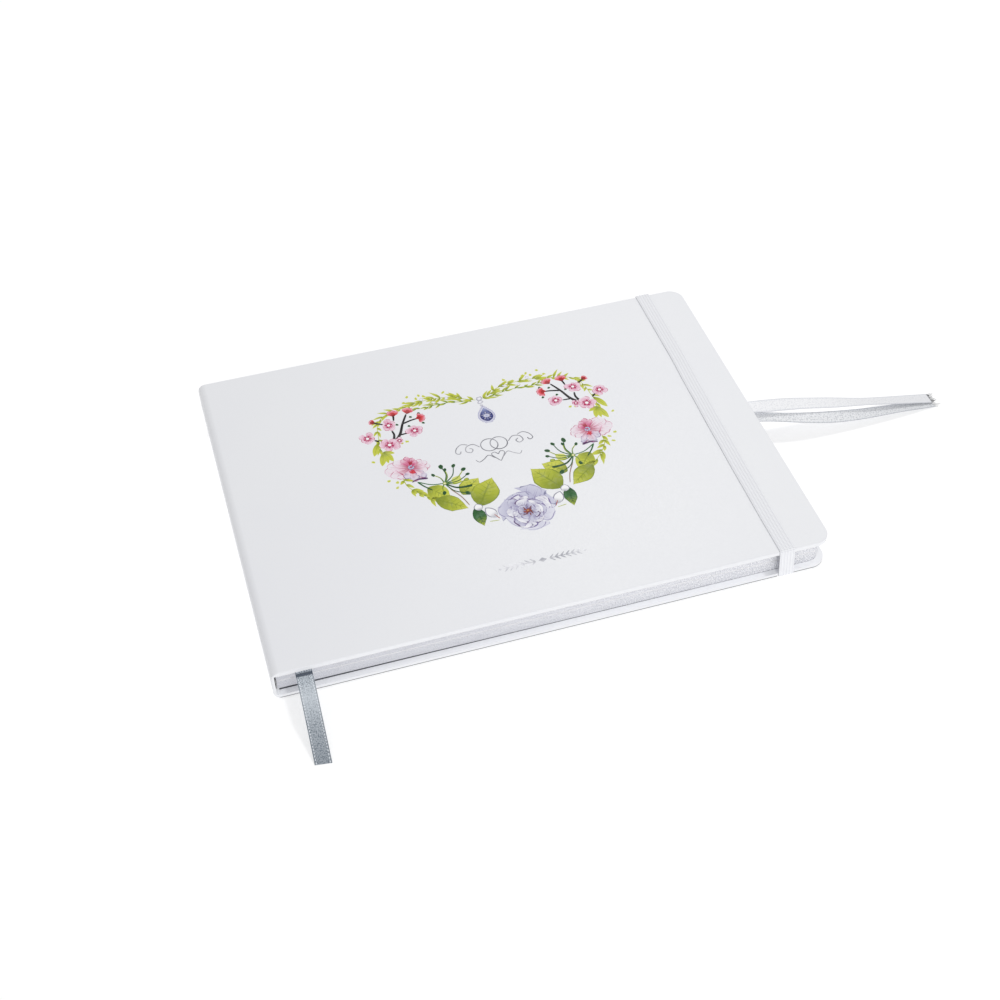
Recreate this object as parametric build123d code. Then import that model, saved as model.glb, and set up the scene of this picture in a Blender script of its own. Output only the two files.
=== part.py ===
from build123d import *
import math
import os

# A landscape guest book: a hard case with a thin rounded spine, a sewn block with silvered
# edges, turning leaves at the front, an elastic closing band fixed in the back cover, and
# three ribbon markers. Millimetres. The origin is at the middle of the closed book's
# underside: the spine is at -X, the fore edge at +X, the head at +Y, and +Z is up.

# ---- driving dimensions ----
BOOK_LENGTH = 286.0        # spine to fore edge
BOOK_HEIGHT = 210.0        # head to tail
BOOK_THICK = 19.0          # closed, without the elastic
COVER = 2.5                # one cover: board, wrap and pastedown
SKIN = 0.25                # wrapping paper, and the pasted endpaper
SPINE_WALL = 1.4           # spine card with its wrap
SPINE_RADIUS = 4.0         # outer rounding along the spine
INNER_RADIUS = 1.6         # inner rounding between spine and back cover
CORNER_RADIUS = 8.0        # fore-edge corners of the covers
EDGE_RADIUS = 0.5          # softened edges of the wrapped boards
BOARD_START = 5.0          # from the spine's face to the boards
TURN_IN = 4.0              # wrap that shows inside, round each pastedown
SQUARE = 3.0               # overhang of the covers past the block
PAGE_RADIUS = 6.0          # fore-edge corners of the block and leaves
FORE_LEAN = 1.8            # the top leaves reach that much further than the lowest section

SECTION_COUNT = 7
SECTION_THICK = 1.42       # one sewn section: four folded sheets
FOLD_RADIUS = 0.6
BLOCK_BOTTOM = 3.4         # the block stands off the back cover here
BLOCK_START = 2.3          # from the spine's face to the folds
RIBBON_GAP = 0.45          # room between sections where a ribbon lies
TAPE_WIDTH = 12.0          # cloth tapes across the folds
TAPE_THICK = 0.3           # the tapes, and the gauze over them
TAPE_SPACING = 62.0
THREAD_THICK = 0.25
THREAD_CLEAR = 0.5         # from each run of thread to the tapes beside it
MULL_INSET = 0.5           # from the block's head and tail to the gauze

LEAF_COUNT = 5             # loose-turning leaves over the block
LEAF_THICK = 0.22
LEAF_GAP = 0.06
LEAF_START = 2.0           # from the spine's face to the leaves' bound edge

ELASTIC_WIDTH = 8.0
ELASTIC_THICK = 0.8
ELASTIC_X = 262.2          # middle of the band, from the spine's face
ELASTIC_CLEAR = 0.05
SLOT_CLEAR = 0.1
SLOT_INSET = 14.0          # from the cover's edge to the slot that the band goes through
TUCK_LENGTH = 15.0         # band glued between board and pastedown
BAND_JOIN = 2.4            # height where the anchored end becomes the free run

RIBBON_WIDTH = 8.0
RIBBON_THICK = 0.3

# ---- values worked out from them ----
SPINE_X = -BOOK_LENGTH / 2
FORE_X = BOOK_LENGTH / 2
HALF_HEIGHT = BOOK_HEIGHT / 2
INNER_TOP = BOOK_THICK - COVER
BLOCK_FORE = FORE_X - SQUARE
BLOCK_HALF = HALF_HEIGHT - SQUARE
SECTION_GAPS = {4: RIBBON_GAP, 6: RIBBON_GAP}     # room left above these sections
SECTION_BOTTOMS = [BLOCK_BOTTOM]
for number in range(1, SECTION_COUNT):
    SECTION_BOTTOMS.append(SECTION_BOTTOMS[-1] + SECTION_THICK + SECTION_GAPS.get(number, 0.0))
BLOCK_TOP = SECTION_BOTTOMS[-1] + SECTION_THICK


def page_outline(x_low, x_high, half_height, radius):
    """Plan of a cover, board or leaf: square at the spine, round at the fore edge."""
    plan = Pos((x_low + x_high) / 2, 0) * Rectangle(x_high - x_low, 2 * half_height)
    return fillet(plan.vertices().group_by(Axis.X)[-1], radius)


def slab(x_low, x_high, half_height, z_low, z_high, radius):
    """A flat piece with that plan."""
    return Pos(0, 0, z_low) * extrude(page_outline(x_low, x_high, half_height, radius), z_high - z_low)


def block(x_low, x_high, y_low, y_high, z_low, z_high):
    """A plain box between two corners."""
    centre = Pos((x_low + x_high) / 2, (y_low + y_high) / 2, (z_low + z_high) / 2)
    return centre * Box(x_high - x_low, y_high - y_low, z_high - z_low)


def along_y(profile, half_length):
    """Pushes a profile drawn in X and Z both ways along Y."""
    return extrude(profile, half_length, both=True)


def in_xz(x_low, x_high, z_low, z_high):
    """A rectangle in the X-Z plane."""
    shape = Rectangle(x_high - x_low, z_high - z_low)
    return Plane.XZ * Pos((x_low + x_high) / 2, (z_low + z_high) / 2) * shape


# ---- the case ----
def closed_case():
    """The closed book's outer form: rounded along the spine's two long edges."""
    body = slab(SPINE_X, FORE_X, HALF_HEIGHT, 0, BOOK_THICK, CORNER_RADIUS)
    spine_edges = body.edges().filter_by(Axis.Y).group_by(Axis.X)[0]
    return fillet(spine_edges, SPINE_RADIUS)


def softened(cover, face_z):
    """Rounds a cover's outer edges at one height, all but the long one at the spine."""
    rim = cover.edges().filter_by_position(Axis.Z, face_z - 0.01, face_z + 0.01)
    rim = [e for e in rim if e.center().X > SPINE_X + 2 * SPINE_RADIUS]
    return fillet(rim, EDGE_RADIUS)


def board(z_low):
    """A cover's grey board."""
    return slab(SPINE_X + BOARD_START, FORE_X - SKIN, HALF_HEIGHT - SKIN,
                z_low, z_low + COVER - 2 * SKIN, CORNER_RADIUS - SKIN)


def pastedown(z_low):
    """The endpaper pasted inside a cover, a little smaller than the cover."""
    return slab(SPINE_X + LEAF_START, FORE_X - TURN_IN, HALF_HEIGHT - TURN_IN,
                z_low, z_low + SKIN, CORNER_RADIUS - TURN_IN)


def spine_card():
    """The thin stiffener in the spine."""
    return block(SPINE_X + SKIN, SPINE_X + SPINE_WALL - SKIN, SKIN - HALF_HEIGHT, HALF_HEIGHT - SKIN,
                 SPINE_RADIUS + SKIN, BOOK_THICK - SPINE_RADIUS - SKIN)


def front_wrap():
    """The front cover's skin: face, edges and turn-ins, with the board left out."""
    cover = closed_case() & block(SPINE_X, FORE_X, -HALF_HEIGHT, HALF_HEIGHT, INNER_TOP, BOOK_THICK)
    cover = softened(cover, BOOK_THICK)
    return cover - board(INNER_TOP + SKIN) - pastedown(INNER_TOP)


def case_wrap():
    """The skin of the back cover and the spine, one piece, cut for the elastic."""
    lower = closed_case() & block(SPINE_X, FORE_X, -HALF_HEIGHT, HALF_HEIGHT, 0, INNER_TOP)
    lower = softened(lower, 0)
    hollow = in_xz(SPINE_X + SPINE_WALL, FORE_X + COVER, COVER, BOOK_THICK)
    corner = [v for v in hollow.vertices() if v.X < 0 and v.Z < BOOK_THICK / 2]
    lower -= along_y(fillet(corner, INNER_RADIUS), HALF_HEIGHT + COVER)
    lower -= board(SKIN) + pastedown(COVER - SKIN)
    lower -= spine_card()
    for side in (1, -1):
        lower -= anchor(side, SLOT_CLEAR)
    return lower


# ---- the elastic band ----
def strip(points, width, centre_x):
    """A flat strip whose edge view is the polygon given in Y and Z."""
    edge_view = Plane.YZ * make_face(Polyline(*points, close=True))
    return Pos(centre_x - width / 2, 0, 0) * extrude(edge_view, width, dir=(1, 0, 0))


def anchor(side, clear=0.0):
    """The band's fixed end: under the cover, up through its slot, tucked under the pastedown."""
    outer = HALF_HEIGHT + ELASTIC_CLEAR + ELASTIC_THICK + clear
    inner = HALF_HEIGHT + ELASTIC_CLEAR - clear
    slot = HALF_HEIGHT - SLOT_INSET
    low = ELASTIC_CLEAR - clear
    under = ELASTIC_CLEAR + ELASTIC_THICK + clear
    tuck_low = COVER - SKIN - ELASTIC_THICK - clear
    tuck_high = COVER - SKIN
    edge = [
        (outer, BAND_JOIN),
        (inner, BAND_JOIN),
        (inner, under),
        (slot + ELASTIC_THICK / 2 + clear, under),
        (slot + ELASTIC_THICK / 2 + clear, tuck_high),
        (slot - TUCK_LENGTH - clear, tuck_high),
        (slot - TUCK_LENGTH - clear, tuck_low),
        (slot - ELASTIC_THICK / 2 - clear, tuck_low),
        (slot - ELASTIC_THICK / 2 - clear, low),
        (outer, low),
    ]
    edge = [(side * y, z) for y, z in edge]
    return strip(edge, ELASTIC_WIDTH + 2 * clear, SPINE_X + ELASTIC_X)


def side_run(side):
    """The band's stretch up the head or tail edge, with the turn onto the front cover."""
    outer = HALF_HEIGHT + ELASTIC_CLEAR + ELASTIC_THICK
    inner = HALF_HEIGHT + ELASTIC_CLEAR
    under = BOOK_THICK + ELASTIC_CLEAR
    edge = [
        (outer, BAND_JOIN),
        (inner, BAND_JOIN),
        (inner, under),
        (inner - ELASTIC_THICK, under),
        (inner - ELASTIC_THICK, under + ELASTIC_THICK),
        (inner, under + ELASTIC_THICK),
        (outer, under),
    ]
    edge = [(side * y, z) for y, z in edge]
    return strip(edge, ELASTIC_WIDTH, SPINE_X + ELASTIC_X)


def front_run():
    """The band's stretch across the front cover."""
    half = HALF_HEIGHT + ELASTIC_CLEAR - ELASTIC_THICK
    low = BOOK_THICK + ELASTIC_CLEAR
    x_low = SPINE_X + ELASTIC_X - ELASTIC_WIDTH / 2
    return block(x_low, x_low + ELASTIC_WIDTH, -half, half, low, low + ELASTIC_THICK)


# ---- the block and the leaves ----
def fore_edge(z_low):
    """How far the pages at that height reach: the closed block's fore edge leans out upwards."""
    share = (z_low - BLOCK_BOTTOM) / (INNER_TOP - BLOCK_BOTTOM)
    return BLOCK_FORE + FORE_LEAN * max(share, 0.0)


def section(z_low):
    """Folded sheets, round at the fold."""
    body = slab(SPINE_X + BLOCK_START, fore_edge(z_low), BLOCK_HALF,
                z_low, z_low + SECTION_THICK, PAGE_RADIUS)
    folds = body.edges().filter_by(Axis.Y).group_by(Axis.X)[0]
    return fillet(folds, FOLD_RADIUS)


def leaf(z_low, start=LEAF_START):
    """One leaf."""
    return slab(SPINE_X + start, fore_edge(z_low), BLOCK_HALF, z_low, z_low + LEAF_THICK, PAGE_RADIUS)


# ---- the block's spine ----
def sewing_tape(number):
    """One of three cloth tapes that the sections are sewn round."""
    middle = number * TAPE_SPACING
    back = SPINE_X + BLOCK_START
    return block(back - TAPE_THICK, back, middle - TAPE_WIDTH / 2, middle + TAPE_WIDTH / 2,
                 BLOCK_BOTTOM, BLOCK_TOP)


def sewing_thread():
    """Thread along each section's fold, between the tapes."""
    back = SPINE_X + BLOCK_START
    reach = TAPE_SPACING - TAPE_WIDTH - 2 * THREAD_CLEAR
    runs = []
    for bottom in SECTION_BOTTOMS:
        middle = bottom + SECTION_THICK / 2
        for gap in (-0.5, 0.5):
            centre = gap * TAPE_SPACING
            runs.append(block(back - THREAD_THICK, back, centre - reach / 2, centre + reach / 2,
                              middle - THREAD_THICK / 2, middle + THREAD_THICK / 2))
    return Compound(children=runs)


def spine_mull():
    """Gauze glued over the tapes."""
    back = SPINE_X + BLOCK_START - TAPE_THICK
    return block(back - TAPE_THICK, back, MULL_INSET - BLOCK_HALF, BLOCK_HALF - MULL_INSET,
                 BLOCK_BOTTOM, BLOCK_TOP)


# ---- the ribbons ----
def turn_radii(points):
    """The largest arc that each corner's two runs allow."""
    runs = [Vector(*b) - Vector(*a) for a, b in zip(points, points[1:])]
    radii = []
    for first, second in zip(runs, runs[1:]):
        half_turn = math.radians(first.get_angle(second)) / 2
        radii.append(0.45 * min(first.length, second.length) / math.tan(half_turn))
    return radii


def ribbon(name, points):
    """A flat ribbon along straight runs and tangent arcs, its width kept level."""
    radii = turn_radii(points)
    path = FilletPolyline(*points, radius=radii)
    start = Vector(*points[0])
    heading = (Vector(*points[1]) - start).normalized()
    across = Vector(0, 0, 1).cross(heading)
    face = Plane(origin=start, x_dir=across, z_dir=heading) * Rectangle(RIBBON_WIDTH, RIBBON_THICK)
    body = sweep(face, path=path, binormal=(0, 0, 1))
    expected = path.length * RIBBON_WIDTH * RIBBON_THICK
    print(name, "length", round(path.length, 1), "radii", [round(r) for r in radii],
          "volume share", round(body.volume / expected, 4))
    return body


marker_high = SECTION_BOTTOMS[6] - RIBBON_GAP / 2
marker_low = SECTION_BOTTOMS[4] - RIBBON_GAP / 2
bookmark_level = BLOCK_TOP + RIBBON_GAP / 2

# From the glued end at the head of the spine to the cut end. X is counted from the spine's face.
BOOKMARK_ROUTE = [
    (13.6, 97.0, bookmark_level),
    (15.4, 30.0, bookmark_level),
    (14.8, -45.0, bookmark_level),
    (15.6, -86.0, bookmark_level),
    (15.5, -108.0, bookmark_level),
    (15.2, -119.5, 10.1),
    (14.8, -132.0, 5.3),
    (14.3, -146.5, 0.3),
]
MARKER_HIGH_ROUTE = [
    (6.0, 96.0, marker_high),
    (84.0, 74.5, marker_high),
    (168.0, 42.0, marker_high),
    (250.0, 11.0, marker_high),
    (294.0, 2.4, marker_high),
    (314.0, 0.4, 11.2),
    (338.0, -2.8, 8.0),
    (364.0, -5.4, 4.3),
    (396.0, -8.2, 0.85),
]
MARKER_LOW_ROUTE = [
    (6.0, 96.0, marker_low),
    (88.0, 72.0, marker_low),
    (172.0, 36.0, marker_low),
    (250.0, 9.0, marker_low),
    (293.0, -2.0, marker_low),
    (312.0, -7.8, 8.0),
    (335.0, -11.4, 5.4),
    (362.0, -12.0, 2.5),
    (396.0, -12.8, 0.2),
]


def from_spine(route):
    """Route points with X counted from the middle of the book."""
    return [(SPINE_X + x, y, z) for x, y, z in route]


# ---- all parts ----
parts = {
    "case_wrap": case_wrap(),
    "spine_card": spine_card(),
    "back_pastedown": pastedown(COVER - SKIN),
    "back_flyleaf": leaf(COVER + LEAF_GAP, SPINE_WALL + 1.1 * INNER_RADIUS),
    "front_wrap": front_wrap(),
    "front_board": board(INNER_TOP + SKIN),
    "front_pastedown": pastedown(INNER_TOP),
    "spine_mull": spine_mull(),
    "sewing_thread": sewing_thread(),
    "elastic_front_run": front_run(),
}
back_board = board(SKIN)
for side, end in ((1, "head"), (-1, "tail")):
    back_board -= anchor(side, SLOT_CLEAR)
    parts["elastic_anchor_" + end] = anchor(side)
    parts["elastic_run_" + end] = side_run(side)
parts["back_board"] = back_board

for number, bottom in enumerate(SECTION_BOTTOMS, 1):
    parts[f"section_{number}"] = section(bottom)

leaf_pitch = LEAF_THICK + LEAF_GAP
first_leaf = BLOCK_TOP + RIBBON_GAP
for number in range(LEAF_COUNT):
    parts[f"leaf_{LEAF_COUNT - number}"] = leaf(first_leaf + number * leaf_pitch)
parts["front_flyleaf"] = leaf(first_leaf + LEAF_COUNT * leaf_pitch)

for number, end in ((1, "head"), (0, "middle"), (-1, "tail")):
    parts["sewing_tape_" + end] = sewing_tape(number)

parts["bookmark_ribbon"] = ribbon("bookmark", from_spine(BOOKMARK_ROUTE))
parts["marker_ribbon_high"] = ribbon("marker high", from_spine(MARKER_HIGH_ROUTE))
parts["marker_ribbon_low"] = ribbon("marker low", from_spine(MARKER_LOW_ROUTE))

os.makedirs("parts", exist_ok=True)
for name, part in parts.items():
    part.label = name
    export_step(part, f"parts/{name}.step")
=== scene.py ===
"""Wedding guest book: its paper, pages, elastic, ribbons, cover print, lights and camera.

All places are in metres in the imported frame: x runs from the spine to the fore edge, y from the
tail to the head, z up, and the closed book lies on the floor at z = 0.
"""
import random
from math import atan2, ceil, cos, degrees, hypot, log, pi, radians, sin, sqrt, tan, tau

import bpy
from mathutils import Matrix, Vector, noise


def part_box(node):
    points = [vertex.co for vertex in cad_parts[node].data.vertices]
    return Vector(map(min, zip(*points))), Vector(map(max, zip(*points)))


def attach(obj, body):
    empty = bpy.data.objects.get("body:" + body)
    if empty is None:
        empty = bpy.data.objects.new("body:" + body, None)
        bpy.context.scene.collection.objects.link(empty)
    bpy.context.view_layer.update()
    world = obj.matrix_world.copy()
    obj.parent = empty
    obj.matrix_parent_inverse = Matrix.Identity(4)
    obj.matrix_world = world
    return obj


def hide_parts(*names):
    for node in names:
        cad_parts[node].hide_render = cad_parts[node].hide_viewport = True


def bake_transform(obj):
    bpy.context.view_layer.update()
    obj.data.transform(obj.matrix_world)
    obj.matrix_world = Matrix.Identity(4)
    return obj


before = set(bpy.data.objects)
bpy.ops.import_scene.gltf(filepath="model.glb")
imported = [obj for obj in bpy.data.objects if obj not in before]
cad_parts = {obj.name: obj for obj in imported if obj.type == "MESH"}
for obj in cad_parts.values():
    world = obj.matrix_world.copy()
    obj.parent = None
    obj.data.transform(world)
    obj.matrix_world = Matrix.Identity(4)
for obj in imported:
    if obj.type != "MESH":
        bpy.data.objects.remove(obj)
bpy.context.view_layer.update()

MM = 0.001
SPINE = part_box("case_wrap")[0].x
COVER_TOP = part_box("front_wrap")[1].z
COVER_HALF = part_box("front_wrap")[1].y


# ---- camera ----

CAMERA_AZIMUTH = -16.58
CAMERA_ELEVATION = 46.25
CAMERA_ROLL = -0.55
CAMERA_TARGET = Vector((-0.0031, -0.0117, 0.0))
CAMERA_DISTANCE = 0.8123
CAMERA_LENS = 54.99


def add_object(name, data):
    made = bpy.data.objects.new(name, data)
    bpy.context.collection.objects.link(made)
    return made


def aimed(target, azimuth, elevation, distance, roll=0.0):
    """The place of something that looks down its own -z at a target; angles in degrees."""
    turn = Matrix.Rotation(radians(azimuth), 4, "Z") @ Matrix.Rotation(radians(90 - elevation), 4, "X")
    turn = turn @ Matrix.Rotation(radians(roll), 4, "Z")
    return Matrix.Translation(target) @ turn @ Matrix.Translation((0, 0, distance))


def add_camera():
    data = bpy.data.cameras.new("camera")
    data.lens = CAMERA_LENS
    data.sensor_width = 36.0
    data.clip_start = 0.01
    data.clip_end = 20.0
    camera = add_object("camera", data)
    camera.matrix_world = aimed(
        CAMERA_TARGET, CAMERA_AZIMUTH, CAMERA_ELEVATION, CAMERA_DISTANCE, CAMERA_ROLL)
    bpy.context.scene.camera = camera


# ---- material graphs ----

def linear(red, green, blue):
    """A linear colour from display values of 0 to 255."""
    return tuple(
        v / 12.92 if v <= 0.04045 else ((v + 0.055) / 1.055) ** 2.4
        for v in (red / 255, green / 255, blue / 255)
    )


class Graph:
    """A material's nodes, with short calls for what the materials share.

    Colours are display values of 0 to 255, and tone is the base colour so far.
    """

    def __init__(self, name, **constants):
        self.material = bpy.data.materials.new(name)
        self.material.use_nodes = True
        self.tree = self.material.node_tree
        self.shader = self.tree.nodes["Principled BSDF"]
        self.tone = None
        self.set(**constants)

    def set(self, **values):
        self.feed(self.shader, {key.replace("_", " "): value for key, value in values.items()})

    def feed(self, node, inputs):
        for key, value in inputs.items():
            socket = node.inputs[key]
            if isinstance(value, bpy.types.NodeSocket):
                self.tree.links.new(value, socket)
            elif socket.type == "RGBA":
                socket.default_value = (*linear(*value), 1.0)
            else:
                socket.default_value = value

    def add(self, kind, inputs=None, **settings):
        node = self.tree.nodes.new("ShaderNode" + kind)
        for key, value in settings.items():
            setattr(node, key, value)
        self.feed(node, inputs or {})
        return node

    def place(self, stretch=(1, 1, 1)):
        """Object coordinates, stretched along each axis."""
        coordinates = self.add("TexCoord").outputs["Object"]
        return self.add("Mapping", {"Vector": coordinates, "Scale": stretch}).outputs[0]

    def lay(self, stretch=(1, 1, 1)):
        """Coordinates of a band: across it and along it, in millimetres."""
        band = self.add("UVMap", uv_map="lay").outputs[0]
        return self.add("Mapping", {"Vector": band, "Scale": stretch}).outputs[0]

    def component(self, vector, axis):
        """One component of a vector: 0 to 2 for x to z."""
        return self.add("SeparateXYZ", {"Vector": vector}).outputs[axis]

    def facing(self, axis):
        """How far the surface faces along an axis."""
        return self.component(self.add("NewGeometry").outputs["Normal"], axis)

    def noise(self, where, scale, detail=2.0, roughness=0.5):
        inputs = {"Vector": where, "Scale": scale, "Detail": detail, "Roughness": roughness}
        return self.add("TexNoise", inputs).outputs[0]

    def wave(self, where, scale, direction, distortion=0.0):
        inputs = {"Vector": where, "Scale": scale, "Distortion": distortion}
        return self.add("TexWave", inputs, bands_direction=direction).outputs["Fac"]

    def calc(self, operation, first, second=0.0):
        return self.add("Math", {0: first, 1: second}, operation=operation).outputs[0]

    def spread(self, value, low, high, to_low=0.0, to_high=1.0):
        """value's stretch from low to high becomes to_low to to_high, and no more than that."""
        inputs = {"Value": value, "From Min": low, "From Max": high}
        inputs.update({"To Min": to_low, "To Max": to_high})
        return self.add("MapRange", inputs).outputs[0]

    def window(self, value, rise, fall, height=1.0):
        """Comes in over value's stretch rise, up to height, and fades out over its stretch fall."""
        return self.calc("MULTIPLY", self.spread(value, *rise, 0.0, height),
                         self.spread(value, *fall, 1.0, 0.0))

    def mix(self, share, first, second):
        return self.add("Mix", {0: share, 6: first, 7: second}, data_type="RGBA").outputs[2]

    def begin(self, value, low, high, first, second):
        """The tone goes from first to second as value goes from low to high."""
        self.tone = self.mix(self.spread(value, low, high), first, second)

    def overlay(self, share, colour):
        """Lays that share of a colour over the tone."""
        self.tone = self.mix(share, self.tone, colour)

    def tint(self, colour, value, low, high, at_low=0.0, at_high=1.0):
        """Lays a colour over the tone, its share going from at_low to at_high with value."""
        self.overlay(self.spread(value, low, high, at_low, at_high), colour)

    def bump(self, height, strength, depth, under=None):
        inputs = {"Height": height, "Strength": strength, "Distance": depth}
        if under is not None:
            inputs["Normal"] = under
        return self.add("Bump", inputs).outputs[0]

    def finish(self, **values):
        self.set(Base_Color=self.tone, **values)
        return self.material


PAPER_WHITE = (231, 232, 236)


def cover_paper():
    """Matt laminated wrapping paper: faint clouding, fine fibre, a painted highlight on its rounded edges
    and a painted contact shadow under the back cover's lower edge.
    """
    graph = Graph("cover_paper_matt", Coat_Weight=0.05, Coat_Roughness=0.4, IOR=1.45)
    where = graph.place()
    clouds = graph.noise(where, 9.0, 3.0)
    fibre = graph.noise(where, 1400.0, 3.0, 0.6)
    flecks = graph.noise(graph.place((1, 3, 1)), 420.0)
    graph.begin(clouds, 0.35, 0.65, (230, 231, 235), (232, 233, 236))
    graph.tint((222, 223, 228), flecks, 0.62, 0.8, 0.0, 0.35)
    # painted highlight: the rounded edges are made lighter
    pointed = graph.add("NewGeometry").outputs["Pointiness"]
    graph.tint((244, 245, 247), pointed, 0.52, 0.6, 0.0, 0.25)
    # painted contact shadow: a dark line under the back cover's lower edge
    low = graph.spread(graph.component(where, 2), 0.6 * MM, 0.95 * MM, 1.0, 0.0)
    standing = graph.spread(graph.facing(2), -0.95, -0.7)
    graph.overlay(graph.calc("MULTIPLY", low, standing), (72, 73, 78))
    gloss = graph.spread(fibre, 0.3, 0.7, 0.42, 0.56)
    relief = graph.bump(fibre, 0.25, 0.02 * MM, graph.bump(clouds, 0.05, 0.1 * MM))
    return graph.finish(Roughness=gloss, Normal=relief)


def pulp_board(name, light, dark):
    """Recycled board: long flat fibres and darker specks."""
    graph = Graph(name, Roughness=0.9)
    fibre = graph.noise(graph.place((1, 4, 6)), 260.0, 4.0, 0.65)
    specks = graph.noise(graph.place(), 900.0, 1.0)
    graph.begin(fibre, 0.3, 0.7, dark, light)
    graph.tint((62, 60, 58), specks, 0.66, 0.74, 0.0, 0.6)
    return graph.finish(Normal=graph.bump(fibre, 0.5, 0.08 * MM))


def sheet_paper(name, light, dark):
    """Uncoated writing paper with faint laid lines and a few fibres."""
    graph = Graph(name, Roughness=0.82, Sheen_Weight=0.05)
    pulp = graph.noise(graph.place(), 700.0, 4.0, 0.6)
    laid = graph.wave(graph.place(), 160.0, "Y", 0.4)
    fibres = graph.noise(graph.place((1, 5, 1)), 180.0)
    graph.begin(pulp, 0.3, 0.7, dark, light)
    graph.tint(dark, laid, 0.0, 1.0, 0.0, 0.12)
    graph.tint((205, 203, 196), fibres, 0.68, 0.78, 0.0, 0.3)
    return graph.finish(Normal=graph.bump(pulp, 0.3, 0.02 * MM, graph.bump(laid, 0.15, 0.01 * MM)))


def silver_edge():
    """Silver paint on the trimmed edge: fine streaks along the sheets, grain, bright flecks painted as
    glints, and painted shade towards the spine.
    """
    graph = Graph("page_edge_silver", Metallic=0.3)
    streaks = graph.noise(graph.place((1, 1, 14)), 480.0, 3.0, 0.6)
    patches = graph.noise(graph.place((1, 1, 3)), 70.0)
    grain = graph.noise(graph.place(), 1500.0)
    sheets = graph.noise(graph.place((1, 1, 26)), 160.0)
    graph.begin(streaks, 0.34, 0.66, (206, 207, 214), (232, 233, 238))
    graph.tint((176, 177, 186), sheets, 0.4, 0.52, 0.45, 0.0)
    graph.tint((208, 209, 218), patches, 0.5, 0.7, 0.0, 0.3)
    run = graph.component(graph.place(), 0)
    # painted shade: the edge grows darker towards the spine
    graph.tint((190, 191, 199), run, SPINE, 0.03, 0.7, 0.0)
    # the paint's grain shows most near the fore edge, on the head and the tail; its bright flecks are
    # painted glints
    fleck_share = graph.calc("MULTIPLY", graph.spread(run, -0.04, 0.12, 0.2, 1.0),
                      graph.spread(graph.facing(0), 0.3, 0.9, 1.0, 0.45))
    dull = graph.spread(grain, 0.36, 0.46, 0.5, 0.0)
    graph.overlay(graph.calc("MULTIPLY", dull, fleck_share), (150, 151, 158))
    # painted glints: the bright flecks
    bright = graph.spread(grain, 0.51, 0.6, 0.0, 0.8)
    graph.overlay(graph.calc("MULTIPLY", bright, fleck_share), (253, 253, 254))
    gloss = graph.spread(grain, 0.3, 0.7, 0.62, 0.4)
    relief = graph.bump(grain, 0.5, 0.05 * MM, graph.bump(streaks, 0.5, 0.06 * MM))
    return graph.finish(Roughness=gloss, Normal=relief)


def woven_cotton(name, pitch, light, dark, gap):
    """Plain weave: over and under threads of one pitch, darker where the weave is open."""
    graph = Graph(name, Roughness=0.85, Sheen_Weight=0.2)
    turns = 1.0 / (pitch * 20.0)
    across = graph.wave(graph.place(), turns, "Y", 0.3)
    upright = graph.wave(graph.place(), turns, "Z", 0.3)
    weave = graph.calc("MAXIMUM", across, upright)
    graph.begin(weave, gap, 1.0, dark, light)
    graph.tint(dark, graph.noise(graph.place(), 300.0), 0.3, 0.7, 0.0, 0.3)
    return graph.finish(Normal=graph.bump(weave, 0.8, 0.12 * MM))


def linen_thread():
    """Waxed linen thread: two plies laid round each other."""
    graph = Graph("thread_linen", Roughness=0.6, Sheen_Weight=0.15)
    plies = graph.wave(graph.place(), 130.0, "DIAGONAL", 0.2)
    graph.begin(plies, 0.2, 0.8, (196, 190, 176), (232, 228, 216))
    return graph.finish(Normal=graph.bump(plies, 0.8, 0.06 * MM))


RIBBON_WIDTH = 8.0 * MM     # and the elastic's
ELASTIC_RIBS = 5
WAVE_TURN = tau / 20   # a wave texture of that scale repeats once in each unit of length


def knitted_elastic():
    """White covered elastic: painted shade in the rib valleys, small knit stitches along each rib."""
    graph = Graph("elastic_knit", Roughness=0.72, Sheen_Weight=0.35, Sheen_Roughness=0.4)
    rib = graph.wave(graph.lay((1, 0, 0)), WAVE_TURN * ELASTIC_RIBS * MM / RIBBON_WIDTH, "X")
    stitch = graph.wave(graph.lay((0.9, 1, 0)), 0.35, "Y", 0.6)
    fluff = graph.noise(graph.place(), 2200.0)
    graph.begin(stitch, 0.1, 0.9, (222, 223, 228), (243, 244, 247))
    # painted shade: the rib valleys are darker
    graph.tint((196, 197, 205), rib, 0.0, 0.35, 0.35, 0.0)
    graph.tint((250, 250, 252), fluff, 0.4, 0.7, 0.0, 0.2)
    relief = graph.bump(stitch, 0.5, 0.06 * MM, graph.bump(fluff, 0.3, 0.03 * MM))
    return graph.finish(Normal=relief)


SELVEDGE_STITCH = 1.5       # millimetres from one selvedge stitch to the next
LOOSE_THREAD = 20.0         # where loose threads lie on the ribbon's own scale, past its edges


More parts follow.
